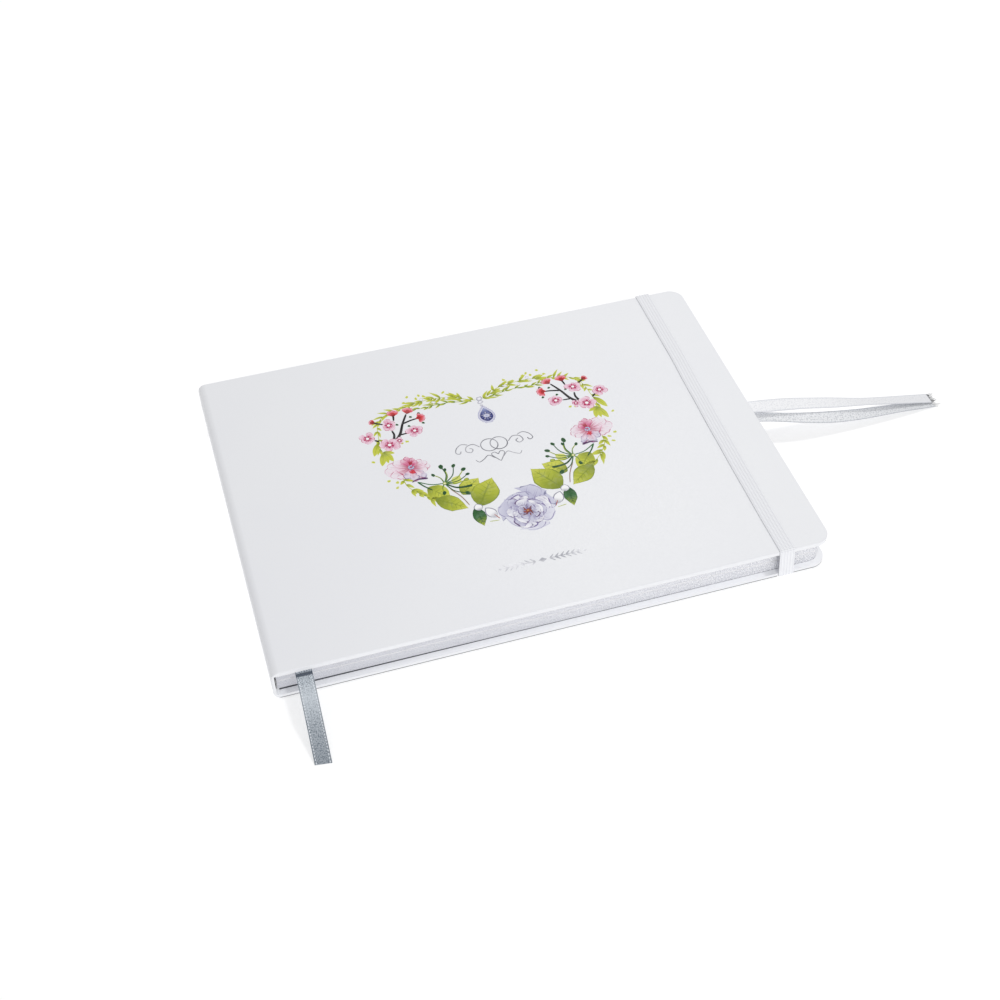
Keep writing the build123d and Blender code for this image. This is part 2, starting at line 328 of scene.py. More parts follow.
def satin(name, light, mid, dark, speckle, reach, grain=1.5, painted_shadows=(), painted_highlight=None):
    """Satin ribbon: warp lines, speckled weave, stitched selvedges, toned along its length.

    reach is the stretch of the ribbon, in millimetres, over which it grows darker; painted_shadows are
    stretches painted dark for the shade where it bends over an edge under the cover, and painted_highlight
    is a stretch painted lighter where it turns to the light: its start, brightest place and end.
    """
    graph = Graph(name, Sheen_Weight=0.12, Sheen_Roughness=0.35, Specular_IOR_Level=0.4)
    warp = graph.noise(graph.lay((7.0, 0.25, 0)), 1.0, 3.0, 0.6)
    weft = graph.wave(graph.lay((0.2, 1, 0)), 0.62, "Y", 0.5)
    speck = graph.noise(graph.lay((grain, grain, 0)), 1.0, 2.0, 0.6)
    stitch = graph.wave(graph.lay((0, 1, 0)), WAVE_TURN / SELVEDGE_STITCH, "Y")
    edge = graph.calc("ABSOLUTE", graph.component(graph.lay(), 0))
    along = graph.component(graph.lay(), 1)
    graph.begin(warp, 0.3, 0.7, mid, light)
    graph.tint(dark, speck, 0.4, 0.5, speckle, 0.0)
    graph.tint(light, speck, 0.5, 0.6, 0.0, speckle)
    graph.tint(dark, weft, 0.0, 1.0, 0.16, 0.0)
    graph.tint(dark, along, *reach, 0.0, 0.5)
    # painted highlight: a stretch made lighter where the ribbon turns to the light
    if painted_highlight:
        start, peak, end = painted_highlight
        graph.overlay(graph.window(along, (start, peak), (peak, end), 0.62), light)
    graph.tint(dark, edge, 3.45, 3.6, 0.0, 0.5)
    seam = graph.window(edge, (2.95, 3.1), (3.4, 3.5))
    stitched = graph.calc("MULTIPLY", seam, graph.spread(stitch, 0.35, 0.6, 0.0, 0.85))
    graph.overlay(stitched, (226, 230, 236))
    # painted shadow: stretches made dark where the ribbon bends over an edge in the cover's shade
    for start, end in painted_shadows:
        inside = graph.window(along, (start - 0.3, start + 0.3), (end - 0.3, end + 0.3), 0.9)
        graph.overlay(inside, (52, 62, 78))
    # painted shade: the loose threads are drawn dark
    graph.tint((70, 72, 78), edge, LOOSE_THREAD / 2 - 1, LOOSE_THREAD / 2)
    gloss = graph.spread(warp, 0.2, 0.8, 0.4, 0.6)
    relief = graph.bump(speck, 0.4, 0.05 * MM, graph.bump(warp, 0.5, 0.05 * MM))
    return graph.finish(Roughness=gloss, Normal=relief)


def printing_ink():
    """Offset inks on the matt paper: the ink colour of each point, with paper grain in it."""
    graph = Graph("cover_print_ink", Specular_IOR_Level=0.18)
    grain = graph.noise(graph.place(), 1900.0, 3.0, 0.6)
    wash = graph.noise(graph.place(), 340.0, 3.0)
    graph.tone = graph.add("Attribute", attribute_name="ink").outputs["Color"]
    graph.tint(PAPER_WHITE, wash, 0.5, 0.8, 0.0, 0.1)
    gloss = graph.spread(grain, 0.3, 0.7, 0.4, 0.56)
    return graph.finish(Roughness=gloss, Normal=graph.bump(grain, 0.25, 0.02 * MM))


def silver_foil(name, light, dark):
    """Hot-stamped silver foil: pressed into the paper's grain, brighter in patches."""
    graph = Graph(name, Metallic=0.3, Specular_IOR_Level=0.2)
    grain = graph.noise(graph.place(), 1500.0, 3.0, 0.6)
    graph.begin(graph.noise(graph.place(), 140.0), 0.35, 0.65, dark, light)
    gloss = graph.spread(grain, 0.3, 0.7, 0.5, 0.68)
    return graph.finish(Roughness=gloss, Normal=graph.bump(grain, 0.5, 0.03 * MM))


COVER = cover_paper()
BOARD = pulp_board("grey_board_pulp", (182, 177, 168), (150, 145, 136))
# painted shade: the spine card is near black so that the gap at the spine's corner reads dark
SPINE_SHADE_CARD = pulp_board("spine_card_painted_shade", (70, 70, 74), (44, 44, 48))
ENDPAPER = sheet_paper("endpaper_laid", (242, 242, 240), (232, 232, 229))
PAGE = sheet_paper("page_paper_laid", (240, 240, 241), (231, 231, 232))
# painted shade: the back flyleaf is dark grey so that the gap under the lowest section reads as a dark line
BACK_SHADE_PAPER = sheet_paper("endpaper_painted_shade", (96, 98, 104), (74, 76, 82))
EDGE = silver_edge()
# painted shade: the mull is dark grey so that the gap at the spine's corner reads dark
MULL_SHADE = woven_cotton("mull_painted_shade", 0.9 * MM, (150, 150, 148), (48, 48, 52), 0.35)
TAPE = woven_cotton("tape_cotton", 0.4 * MM, (232, 228, 216), (190, 184, 170), 0.1)
THREAD = linen_thread()
ELASTIC = knitted_elastic()
INK = printing_ink()
FOIL = silver_foil("foil_silver", (172, 172, 178), (118, 118, 126))
PALE_FOIL = silver_foil("foil_silver_pale", (234, 234, 238), (172, 173, 180))


def dress(material, *nodes):
    """The CAD nodes whose shape stays get their own detailed material."""
    for name in nodes:
        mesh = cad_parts[name].data
        mesh.materials.clear()
        mesh.materials.append(material)


def dress_cad_nodes():
    dress(COVER, "case_wrap", "front_wrap")
    dress(BOARD, "back_board", "front_board")
    dress(SPINE_SHADE_CARD, "spine_card")
    dress(ENDPAPER, "back_pastedown", "front_pastedown")
    dress(MULL_SHADE, "spine_mull")
    dress(TAPE, "sewing_tape_head", "sewing_tape_middle", "sewing_tape_tail")
    dress(THREAD, "sewing_thread")


# ---- meshes ----

def new_piece(name, points, faces, materials, face_slots=None, sharp=35.0):
    """A mesh in the scene, shaded smoothly except across edges sharper than that many degrees."""
    mesh = bpy.data.meshes.new(name)
    mesh.from_pydata([tuple(p) for p in points], [], faces)
    for material in materials:
        mesh.materials.append(material)
    if face_slots is not None:
        mesh.polygons.foreach_set("material_index", face_slots)
    mesh.polygons.foreach_set("use_smooth", [sharp > 0] * len(mesh.polygons))
    mesh.update()
    if sharp:
        mesh.set_sharp_from_angle(angle=radians(sharp))
    return add_object(name, mesh)


def loft(rows):
    """Points and faces of a closed tube whose rings all have the same number of points."""
    size = len(rows[0])
    points = [p for row in rows for p in row]
    faces = []
    for r in range(len(rows) - 1):
        for c in range(size):
            d = (c + 1) % size
            faces.append((r * size + c, r * size + d, (r + 1) * size + d, (r + 1) * size + c))
    faces.append(tuple(reversed(range(size))))
    last = (len(rows) - 1) * size
    faces.append(tuple(last + c for c in range(size)))
    return points, faces


def join(points, faces, more_points, more_faces):
    """Adds one mesh's points and faces to another's."""
    start = len(points)
    points += more_points
    faces += [tuple(start + i for i in face) for face in more_faces]


# ---- pages ----

PAGE_CORNER = 6.0 * MM
FOLDED_SHEETS = 4           # in each section
SHEET_FILL = 0.9            # of its share of the section that a sheet fills
FOLD_STEPS = 6
CORNER_STEPS = 6
PAGE_STATION = 35.0 * MM    # from one row of a leaf's flat stretch to the next
LEAF_BEND = 6.0 * MM        # the strip beside the spine in which a leaf bends over
GAP_AT_SPINE = 1.1 * MM     # between the back flyleaf and the lowest section
GAP_CLOSED = 0.04 * MM      # where the section rests on the flyleaf
REST_SHARE = 0.7            # of the page's width, from the spine to there


def page_half_width(x, fore_x, half):
    """Half the page's height at x, less near the fore edge where the corners are round."""
    past = x - (fore_x - PAGE_CORNER)
    if past <= 0:
        return half
    return half - PAGE_CORNER + sqrt(max(PAGE_CORNER ** 2 - past ** 2, 0.0))


def corner_stations(fore_x):
    """x of the rows that follow the round corner, up to the fore edge."""
    turns = [pi / 2 * k / CORNER_STEPS for k in range(CORNER_STEPS + 1)]
    return [fore_x - PAGE_CORNER + PAGE_CORNER * sin(turn) for turn in turns]


def paper_sheet(line, thickness, half, fore_x):
    """A sheet that follows a line of stations, each of them (x, z, normal).

    Its two faces are page paper and its cut edges are silvered.
    """
    rows = []
    for x, z, (nx, nz) in line:
        width = page_half_width(x, fore_x, half)
        rows.append([
            Vector((x + nx * side * thickness / 2, y, z + nz * side * thickness / 2))
            for side, y in ((-1, -width), (-1, width), (1, width), (1, -width))
        ])
    points, faces = loft(rows)
    slots = [1 if f % 4 in (1, 3) else 0 for f in range(len(faces) - 2)] + [1, 1]
    return points, faces, slots


def settled(point, low, high):
    """A point of the lowest section, whose underside slopes down towards the fore edge."""
    share = (point.x - low.x) / (high.x - low.x) / REST_SHARE
    gap = max(GAP_AT_SPINE * (1 - share), GAP_CLOSED)
    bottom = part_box("back_flyleaf")[1].z + gap
    lowered = high.z - (high.z - point.z) * (high.z - bottom) / (high.z - low.z)
    return Vector((point.x, point.y, lowered))


def add_section(number):
    """A sewn section: folded sheets laid inside one another, fold at the spine."""
    name = f"section_{number}"
    low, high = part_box(name)
    chance = random.Random(number)
    sheet = (high.z - low.z) / (2 * FOLDED_SHEETS)
    middle = (low.z + high.z) / 2
    points, faces, slots = [], [], []
    for inner in range(FOLDED_SHEETS):
        reach = (FOLDED_SHEETS - inner - 0.5) * sheet
        fore_x = high.x - chance.uniform(0.0, 0.05) * MM
        half = high.y - chance.uniform(0.0, 0.04) * MM
        fold_x = low.x + sheet / 2 + reach
        leg = [(x, middle - reach, (0, -1)) for x in reversed(corner_stations(fore_x))]
        leg.append((0.0, middle - reach, (0, -1)))
        fold = []
        for k in range(FOLD_STEPS + 1):
            turn = -pi * (0.5 + k / FOLD_STEPS)
            out = (cos(turn), sin(turn))
            fold.append((fold_x + reach * out[0], middle + reach * out[1], out))
        back = [(x, 2 * middle - z, (0, 1)) for x, z, _ in reversed(leg)]
        more = paper_sheet(leg + fold + back, sheet * SHEET_FILL, half, fore_x)
        join(points, faces, *more[:2])
        slots += more[2]
    if number == 1:
        points = [settled(point, low, high) for point in points]
    piece = new_piece(f"{name}_sheets", points, faces, [PAGE, EDGE], slots)
    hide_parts(name)
    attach(piece, "root")


def leaf_line(low, high, bends):
    """The stations of a loose leaf, close together where it bends."""
    z = (low.z + high.z) / 2
    near = [low.x + 0.1 * LEAF_BEND * k for k in range(17 if bends else 1)]
    across = [k * PAGE_STATION for k in range(-2, 4)]
    return [(x, z, (0, 1)) for x in near + across + corner_stations(high.x)]


def add_leaf(name, body, material):
    """One loose leaf, its rows close together in the strip beside its hinge, where it would bend."""
    low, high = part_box(name)
    line = leaf_line(low, high, body != "root")
    points, faces, slots = paper_sheet(line, high.z - low.z, high.y, high.x)
    piece = new_piece(f"{name}_sheet", points, faces, [material, EDGE], slots)
    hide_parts(name)
    if body == "root":
        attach(piece, "root")
    else:
        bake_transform(piece)


def add_pages():
    for number in range(1, 8):
        add_section(number)
    for number in range(1, 6):
        add_leaf(f"leaf_{number}", f"leaf_{number}_body", PAGE)
    add_leaf("front_flyleaf", "front_flyleaf_body", ENDPAPER)
    add_leaf("back_flyleaf", "root", BACK_SHADE_PAPER)


# ---- elastic closing band ----

ELASTIC_BEND = 0.7 * MM
SLOT_INSET = 14.0 * MM      # from the cover's edge to the slot
TUCK_DEPTH = 0.55 * MM      # from the anchors' tops to the middle of their glued ends
RIB_POINTS = 8              # across each rib
RIB_HEIGHT = 0.34           # of the band's thickness
ELASTIC_STEP = 4.0 * MM     # from one cross-section to the next, at most
ELASTIC_FOOT = 0.6 * MM     # how far it wanders where it comes round the tail edge
FOOT_REACH = 4.0 * MM       # in from the tail edge
# How far the stretched band wanders sideways over the front cover, at places along it.
ELASTIC_WANDER = [
    (-105.0 * MM, -1.0 * MM), (-84.0 * MM, -1.1 * MM), (-50.0 * MM, -0.9 * MM), (-16.0 * MM, -0.5 * MM),
    (18.0 * MM, 0.1 * MM), (52.0 * MM, 0.9 * MM), (105.0 * MM, 1.0 * MM),
]


def rounded(corners, radius, steps=5):
    """The corners of a flat path with each inner one turned into an arc, ends kept."""
    path = [corners[0]]
    for before, corner, after in zip(corners, corners[1:], corners[2:]):
        into, out = (before - corner).normalized(), (after - corner).normalized()
        half_turn = into.angle(out) / 2
        cut = radius / tan(half_turn)
        middle = corner + (into + out).normalized() * radius / sin(half_turn)
        first = (corner + into * cut - middle).normalized()
        last = (corner + out * cut - middle).normalized()
        for k in range(steps + 1):
            path.append(middle + first.slerp(last, k / steps) * radius)
    path.append(corners[-1])
    return path


def divided(path, longest):
    """The same path with its long runs cut into equal steps."""
    points = [path[0]]
    for start, end in zip(path, path[1:]):
        steps = max(1, ceil((end - start).length / longest))
        points += [start.lerp(end, (k + 1) / steps) for k in range(steps)]
    return points


def walked(line):
    """Each point of a line, with its direction there and how far along the line it is."""
    walk, along = [], 0.0
    for before, point, after in zip(line[:1] + line, line, line[1:] + line[-1:]):
        along += (point - before).length
        walk.append((point, (after - before).normalized(), along))
    return walk


def elastic_route():
    """The band's middle line, from one glued end, round the book, to the other."""
    low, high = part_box("elastic_anchor_head")
    front_low, front_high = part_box("elastic_front_run")
    thick = front_high.z - front_low.z
    top = front_high.z - thick / 2
    side_y = high.y - thick / 2
    under = low.z + thick / 2
    slot_y = COVER_HALF - SLOT_INSET
    tuck = high.z - TUCK_DEPTH
    half = [(low.y, tuck), (slot_y, tuck), (slot_y, under), (side_y, under), (side_y, top), (0.0, top)]
    head = [Vector((0.0, y, z)) for y, z in half]
    tail = [Vector((0.0, -y, z)) for y, z in half[:-1]]
    return divided(rounded(tail + head[-2::-1], ELASTIC_BEND), ELASTIC_STEP)


def add_elastic():
    """The ribbed band, in one piece from slot to slot."""
    low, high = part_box("elastic_front_run")
    middle_x = (low.x + high.x) / 2
    width = high.x - low.x
    thick = high.z - low.z
    columns = RIB_POINTS * ELASTIC_RIBS
    rows, lay = [], []
    for point, ahead, along in walked(elastic_route()):
        out = Vector((1, 0, 0)).cross(ahead)
        ring = []
        share = min(max(point.z / COVER_TOP, 0.0), 1.0)
        wander = between(point.y, ELASTIC_WANDER) * share
        if point.y < FOOT_REACH - COVER_HALF:
            wander += ELASTIC_FOOT * (1 - share)
        for side in (1, -1):
            for c in range(columns + 1):
                u = side * (c / columns - 0.5)
                rib = 1.0 - abs(cos(pi * ELASTIC_RIBS * (u + 0.5))) ** 1.5
                edge = sqrt(max(0.0, 1.0 - (2 * abs(u)) ** 10))
                height = thick / 2 * (1 - RIB_HEIGHT * (1 - rib)) * (0.35 + 0.65 * edge)
                ring.append(point + Vector((u * width + middle_x + wander, 0, 0)) + out * side * height)
                lay.append((u * width / MM, along / MM))
        rows.append(ring)
    points, faces = loft(rows)
    piece = new_piece("elastic_closing_band", points, faces, [ELASTIC], sharp=50.0)
    lay_out(piece, lay)
    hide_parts("elastic_front_run", "elastic_run_head", "elastic_run_tail")
    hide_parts("elastic_anchor_head", "elastic_anchor_tail")
    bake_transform(piece)


def lay_out(piece, lay):
    """Stores where each point lies on its band, across and along, for the material."""
    layer = piece.data.uv_layers.new(name="lay")
    for loop in piece.data.loops:
        layer.data[loop.index].uv = lay[loop.vertex_index]


# ---- ribbons ----

RIBBON_BODY = 0.24 * MM
RIBBON_SELVEDGE = 0.36 * MM
SELVEDGE_START = 0.86       # of half the ribbon's width
SELVEDGE_END = 0.99

# The ribbons' routes: x from the spine's face, y and z, from the head of the spine to the tip.
BOOKMARK_ROUTE = [
    (0.0136, 0.0970, 0.014465), (0.0154, 0.0300, 0.014465), (0.0148, -0.0450, 0.014465),
    (0.0156, -0.0860, 0.014465), (0.0155, -0.1080, 0.014465), (0.0152, -0.1195, 0.0101),
    (0.0148, -0.1320, 0.0053), (0.0143, -0.1465, 0.0003),
]
MARKER_HIGH_ROUTE = [
    (0.0060, 0.0960, 0.012595), (0.0840, 0.0745, 0.012595), (0.1680, 0.0420, 0.012595),
    (0.2500, 0.0110, 0.012595), (0.2940, 0.0024, 0.012595), (0.3140, 0.0004, 0.0112),
    (0.3380, -0.0028, 0.0080), (0.3640, -0.0054, 0.0043), (0.3944, -0.0086, 0.00085),
]
MARKER_LOW_ROUTE = [
    (0.0060, 0.0960, 0.009305), (0.0880, 0.0720, 0.009305), (0.1720, 0.0360, 0.009305),
    (0.2500, 0.0090, 0.009305), (0.2930, -0.0020, 0.009305), (0.3120, -0.0078, 0.0080),
    (0.3350, -0.0114, 0.0054), (0.3620, -0.0118, 0.0025), (0.3944, -0.0112, 0.0002),
]


def smooth_line(name, route):
    """The points of one NURBS spline whose control points are the route's."""
    curve = bpy.data.curves.new(f"{name}_line", "CURVE")
    curve.dimensions = "3D"
    curve.resolution_u = 24
    spline = curve.splines.new("NURBS")
    spline.points.add(len(route) - 1)
    for point, (x, y, z) in zip(spline.points, route):
        point.co = (SPINE + x, y, z, 1.0)
    spline.order_u = 3
    spline.use_endpoint_u = True
    holder = add_object(f"{name}_line", curve)
    bpy.context.view_layer.update()
    evaluated = holder.evaluated_get(bpy.context.evaluated_depsgraph_get())
    mesh = bpy.data.meshes.new_from_object(evaluated)
    line = [v.co.copy() for v in mesh.vertices]
    bpy.data.meshes.remove(mesh)
    bpy.data.objects.remove(holder)
    bpy.data.curves.remove(curve)
    return line


def between(value, stops):
    """A smooth value between (place, value) stops."""
    if value <= stops[0][0]:
        return stops[0][1]
    for (a, low), (b, high) in zip(stops, stops[1:]):
        if value <= b:
            t = (value - a) / (b - a)
            return low + (high - low) * t * t * (3 - 2 * t)
    return stops[-1][1]


RIBBON_COLUMNS = 14
CUT_REACH = 6.0 * MM        # back from the tip, where the cut's slant begins


def ribbon_ring(point, side, up, along, cut):
    """A flat cross-section with thicker selvedges, its two faces one after the other."""
    ring, lay = [], []
    ahead = side.cross(up)
    for face in (1, -1):
        for c in range(RIBBON_COLUMNS + 1):
            u = face * (2 * c / RIBBON_COLUMNS - 1)
            thick = RIBBON_SELVEDGE if SELVEDGE_START < abs(u) < SELVEDGE_END else RIBBON_BODY
            place = point + side * u * RIBBON_WIDTH / 2 + up * face * thick / 2
            ring.append(place - ahead * (cut[0] * (1 + u) + cut[1] * (1 - u)) / 2)
            lay.append((u * RIBBON_WIDTH / 2 / MM, along / MM))
    return ring, lay


def add_ribbon(name, route, material, twist, tip_cut, frays):
    """A flat satin ribbon.

    twist is its roll in degrees at distances back from its tip; tip_cut is how far its left and
    right edges are cut past the end of its route.
    """
    line = smooth_line(name, route)
    walk = walked(line)
    length = walk[-1][2]
    rows, lay = [], []
    for point, ahead, along in walk:
        from_tip = length - along
        side = ahead.cross(Vector((0, 0, 1))).normalized()
        roll = radians(between(from_tip, twist))
        side = Matrix.Rotation(roll, 3, ahead) @ side
        up = side.cross(ahead)
        cut = [reach * max(0.0, 1 - from_tip / CUT_REACH) for reach in tip_cut]
        ring, places = ribbon_ring(point, side, up, along, cut)
        rows.append(ring)
        lay += places
    points, faces = loft(rows)
    tip = (line[-1], (line[-1] - line[-3]).normalized(), rows[-1][0], rows[-1][RIBBON_COLUMNS])
    add_frays(points, faces, lay, tip, length, frays)
    piece = new_piece(name + "_satin", points, faces, [material], sharp=40.0)
    lay_out(piece, lay)
    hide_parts(name)
    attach(piece, "root")
    return piece, line, length


FRAY_WIDTH = 0.3 * MM
FRAY_ROOT = 0.3 * MM        # how far a loose thread starts inside the ribbon


def add_frays(points, faces, lay, tip, along, frays):
    """Loose warp threads past the cut, each a thin three-sided strand that ends in a point."""
    end, ahead, left, right = tip
    chance = random.Random(round(along / MM * 10))
    for k in range(frays):
        share = (k + chance.uniform(0.2, 0.8)) / frays
        root = left.lerp(right, share) - ahead * FRAY_ROOT
        length = chance.uniform(1.2, 4.0) * MM
        lean = (right - left).normalized() * chance.uniform(-0.55, 0.55)
        lift = Vector((0, 0, chance.uniform(-0.05, 0.35)))
        rings = []
        corners = [pi * (0.5 + 2 * k / 3) for k in range(3)]
        for t in (0.0, 0.35, 0.7, 1.0):
            place = root + (ahead + (lean + lift) * t) * length * t
            place.z = max(place.z, 0.1 * MM)
            thick = FRAY_WIDTH * (1 - 0.6 * t) / 2
            rings.append([place + Vector((0, cos(a), sin(a))) * thick for a in corners])
        more = loft(rings)
        join(points, faces, *more)
        lay += [(LOOSE_THREAD, along / MM)] * len(more[0])


def add_ribbons():
    """The bookmark and the two markers: each its look, its roll, its cut and its loose threads."""
    blue_grey = satin(
        "ribbon_satin_blue_grey", (206, 213, 220), (160, 169, 178), (84, 94, 106), 0.75, (212.0, 246.0),
        painted_shadows=((197.6, 199.8), (201.4, 203.4)), painted_highlight=(205.0, 214.0, 228.0),
    )
    silver = satin("ribbon_satin_silver", (252, 252, 253), (240, 241, 244), (192, 194, 201),
                   0.25, (330.0, 470.0), grain=1.0)
    # painted shade: the lower marker's satin is a darker copy of the silver satin, for the shade it lies in
    silver_shaded = satin("ribbon_satin_silver_painted_shade", (250, 251, 252), (226, 228, 232), (150, 154, 162),
                       0.42, (330.0, 520.0), grain=1.0)
    swing_high = [(0.0, -6.0), (0.036, -13.0), (0.066, 4.0), (0.094, 14.0), (0.118, 0.0)]
    swing_low = [(0.0, 0.0), (0.020, -8.0), (0.060, 9.0), (0.095, -6.0), (0.118, 0.0)]
    for name, route, material, slot_name, twist, cut, frays in (
        ("bookmark_ribbon", BOOKMARK_ROUTE, blue_grey, "ribbon_blue_grey",
         [(0.0, 0.0)], (0.5 * MM, 1.3 * MM), 0),
        ("marker_ribbon_high", MARKER_HIGH_ROUTE, silver, "ribbon_silver",
         swing_high, (0.4 * MM, 0.2 * MM), 16),
        ("marker_ribbon_low", MARKER_LOW_ROUTE, silver_shaded, "ribbon_silver",
         swing_low, (1.0 * MM, -1.2 * MM), 9),
    ):
        piece, line, length = add_ribbon(name, route, material, twist, cut, frays)


# ---- the print on the front cover ----

# Everything printed is laid out in millimetres on the cover: u sideways from the wreath's
# middle line, v towards the head from the cover's own middle, directions in degrees.
WREATH_MIDDLE = 3.0 * MM
INK_LAYER = 0.010 * MM      # each shape printed over another lies that much higher
INK_STEPS = 9               # shapes of one layer share it in steps, so that none coincide
INK_ROOT = 0.012 * MM       # how far a shape reaches down into the paper


class Print:
    """Flat shapes printed on the cover, gathered into one mesh with a colour at each point."""

    def __init__(self, name, sign=1):
        self.name = name
        self.sign = sign
        self.points, self.faces, self.inks = [], [], []
        self.count = 0

    def patch(self, rows, inks, layer, crown=0.0):
        """A closed flat shape over a grid of (u, v) points; crown lifts its middle column."""
        self.count += 1
        top = COVER_TOP + layer * INK_LAYER + (self.count % INK_STEPS) * INK_LAYER / INK_STEPS
        half = (len(rows[0]) - 1) / 2
        rings = []
        for row, row_inks in zip(rows, inks):
            ring = [(u, v, top + crown * (1 - abs(c / half - 1))) for c, (u, v) in enumerate(row)]
            ring += [(u, v, COVER_TOP - INK_ROOT) for u, v in reversed(row)]
            rings.append([(WREATH_MIDDLE + self.sign * u * MM, v * MM, z) for u, v, z in ring])
            self.inks += [*row_inks, *reversed(row_inks)]
        points, faces = loft(rings)
        order = 1 if self.winding(rows) * self.sign > 0 else -1
        join(self.points, self.faces, points, [face[::order] for face in faces])

    @staticmethod
    def winding(rows):
        """The sign of the turn from the rows' direction to their points', at the middle row."""
        middle, centre = len(rows) // 2, len(rows[0]) // 2
        (left, low), (right, high) = rows[middle][0], rows[middle][-1]
        (u, v), (next_u, next_v) = rows[middle - 1][centre], rows[middle][centre]
        return (right - left) * (next_v - v) - (high - low) * (next_u - u)

    def finish(self, material, slot_name):
        made = new_piece(self.name, self.points, self.faces, [material], sharp=0.0)
        ink = made.data.color_attributes.new(name="ink", type="FLOAT_COLOR", domain="POINT")
        ink.data.foreach_set("color", [v for colour in self.inks for v in (*colour, 1.0)])
        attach(made, "front_cover")


def blended(first, second, share):
    share = min(max(share, 0.0), 1.0)
    return tuple(a + (b - a) * share for a, b in zip(first, second))


def heading(angle):
    """The direction at an angle in degrees."""
    return cos(radians(angle)), sin(radians(angle))


def clouded(u, v, seed, size=1.0):
    """Slow random tone of a wash, from about -1 to 1."""
    return noise.noise(Vector((u / size + 0.37, v / size + 0.71, seed * 0.613 + 0.29))) * 1.6


PAPER_INK = linear(*PAPER_WHITE)
BARK = linear(14, 4, 8)
GREEN_DARK = linear(22, 72, 28)
GREEN_STEM = linear(44, 104, 48)
GREEN_SHADE = linear(116, 132, 28)
GREEN_MID = linear(170, 180, 46)
GREEN_LEAF = linear(190, 197, 62)
GREEN_YELLOW = linear(200, 204, 76)
GREEN_PALE = linear(214, 216, 128)
PINK_DEEP = linear(176, 34, 88)
PINK = linear(212, 112, 150)
PINK_PALE = linear(234, 196, 214)
PINK_WASH = linear(236, 220, 230)
RED = linear(160, 18, 24)
RED_SOFT = linear(222, 66, 74)
VIOLET = linear(82, 44, 92)
VIOLET_GREY = linear(118, 104, 156)
LILAC_SHADE = linear(184, 183, 207)
LILAC = linear(209, 209, 225)
LILAC_PALE = linear(226, 226, 236)
ORANGE = linear(176, 66, 26)
UMBER = linear(120, 44, 24)
BROWN = linear(150, 124, 110)
NAVY = linear(34, 42, 112)
BLUE_PALE = linear(150, 160, 204)
GREY_LINE = linear(150, 150, 164)
WHITE_PETAL = linear(244, 244, 246)


def smooth_route(points, steps):
    """Points on a smooth curve through the given ones."""
    ends = [points[0]] + list(points) + [points[-1]]
    route = []
    for a, b, c, d in zip(ends, ends[1:], ends[2:], ends[3:]):
        for k in range(steps):
            t = k / steps
            route.append(tuple(
                0.5 * (2 * q + (r - p) * t + (2 * p - 5 * q + 4 * r - s) * t * t
                       + (3 * q - p - 3 * r + s) * t ** 3)
                for p, q, r, s in zip(a, b, c, d)
            ))
    return route + [points[-1]]


def stroke(sheet, points, widths, ink, layer, end_ink=None, crown=0.0, steps=7):
    """A brush line through the points, its width going from the first to the last of widths."""
    route = smooth_route(points, steps)
    rows, inks = [], []
    last = len(route) - 1
    for k, (u, v) in enumerate(route):
        t = k / last
        (a, b), (c, d) = route[max(k - 1, 0)], route[min(k + 1, last)]
        length = hypot(c - a, d - b) or 1.0
        side = ((b - d) / length, (c - a) / length)
        width = widths[0] + (widths[1] - widths[0]) * t
        width *= 0.25 if k in (0, last) else 0.8 if k in (1, last - 1) else 1.0
        rows.append([(u + side[0] * s * width / 2, v + side[1] * s * width / 2) for s in (-1, 0, 1)])
        inks.append([blended(ink, end_ink or ink, t)] * 3)
    sheet.patch(rows, inks, layer, crown)


def ray(sheet, centre, angle, length, start, widths, ink, layer, end_ink, steps=7):
    """A straight stroke away from a centre, from a share of its length to its end."""
    ends = [blade_point(centre, angle, length, t) for t in (start, 1)]
    stroke(sheet, ends, widths, ink, layer, end_ink, steps=steps)


BLADE_SIDES = (-1, -0.88, -0.5, -0.1, 0, 0.1, 0.5, 0.88, 1)
BLADE_ROWS = (0, 0.04, 0.12, 0.24, 0.36, 0.48, 0.6, 0.7, 0.79, 0.87, 0.93, 0.975, 1)


def half_width(t, width, fullness, taper):
    """Half the width of a blade at t of its length; taper above 0.75 gives it a sharper tip."""
    turn = pi * min(max(t, 0.006), 0.994) ** (log(0.5) / log(fullness))
    return width / 2 * sin(turn) ** (0.75 if t < fullness else taper)


def blade_point(base, angle, length, t, off=0.0, bend=0.0):
    """The point at t of a blade's length and off to its left, with its stem line bent."""
    along, aside = heading(angle), heading(angle + 90)
    off += bend * length * t * t
    return tuple(b + a * length * t + s * off for b, a, s in zip(base, along, aside))


def blade(sheet, base, angle, length, width, inks, layer, bend=0.0, fullness=0.5, rib=0.0,
          streak=0.0, ruffle=0.06, seed=0, taper=0.75):
    """A leaf or petal from its base: inks are those of its base, middle, tip and rim.

    fullness says where it is widest, from 0 at the base to 1 at the tip; rib and streak say how
    strongly the base ink runs along its middle and beside it.
    """
    base_ink, middle_ink, tip_ink, rim_ink = inks
    rows, row_inks = [], []
    for t in BLADE_ROWS:
        half = half_width(t, width, fullness, taper)
        row, colours = [], []
        for side in BLADE_SIDES:
            rough = 1 + ruffle * clouded(t * 9, side * 3, seed)
            place = blade_point(base, angle, length, t, half * side * rough, bend)
            ink = blended(blended(base_ink, middle_ink, t * 2), tip_ink, t * 2 - 1)
            if side == 0 and t < 0.93:
                ink = blended(ink, base_ink, rib)
            if abs(side) == 0.5:
                ink = blended(ink, base_ink, streak * (1 - t))
            ink = blended(ink, rim_ink, 0.45 * clouded(*place, seed + 5, 1.5))
            if abs(side) == 1 or t > 0.98:
                ink = rim_ink
            row.append(place)
            colours.append(ink)
        rows.append(row)
        row_inks.append(colours)
    sheet.patch(rows, row_inks, layer)


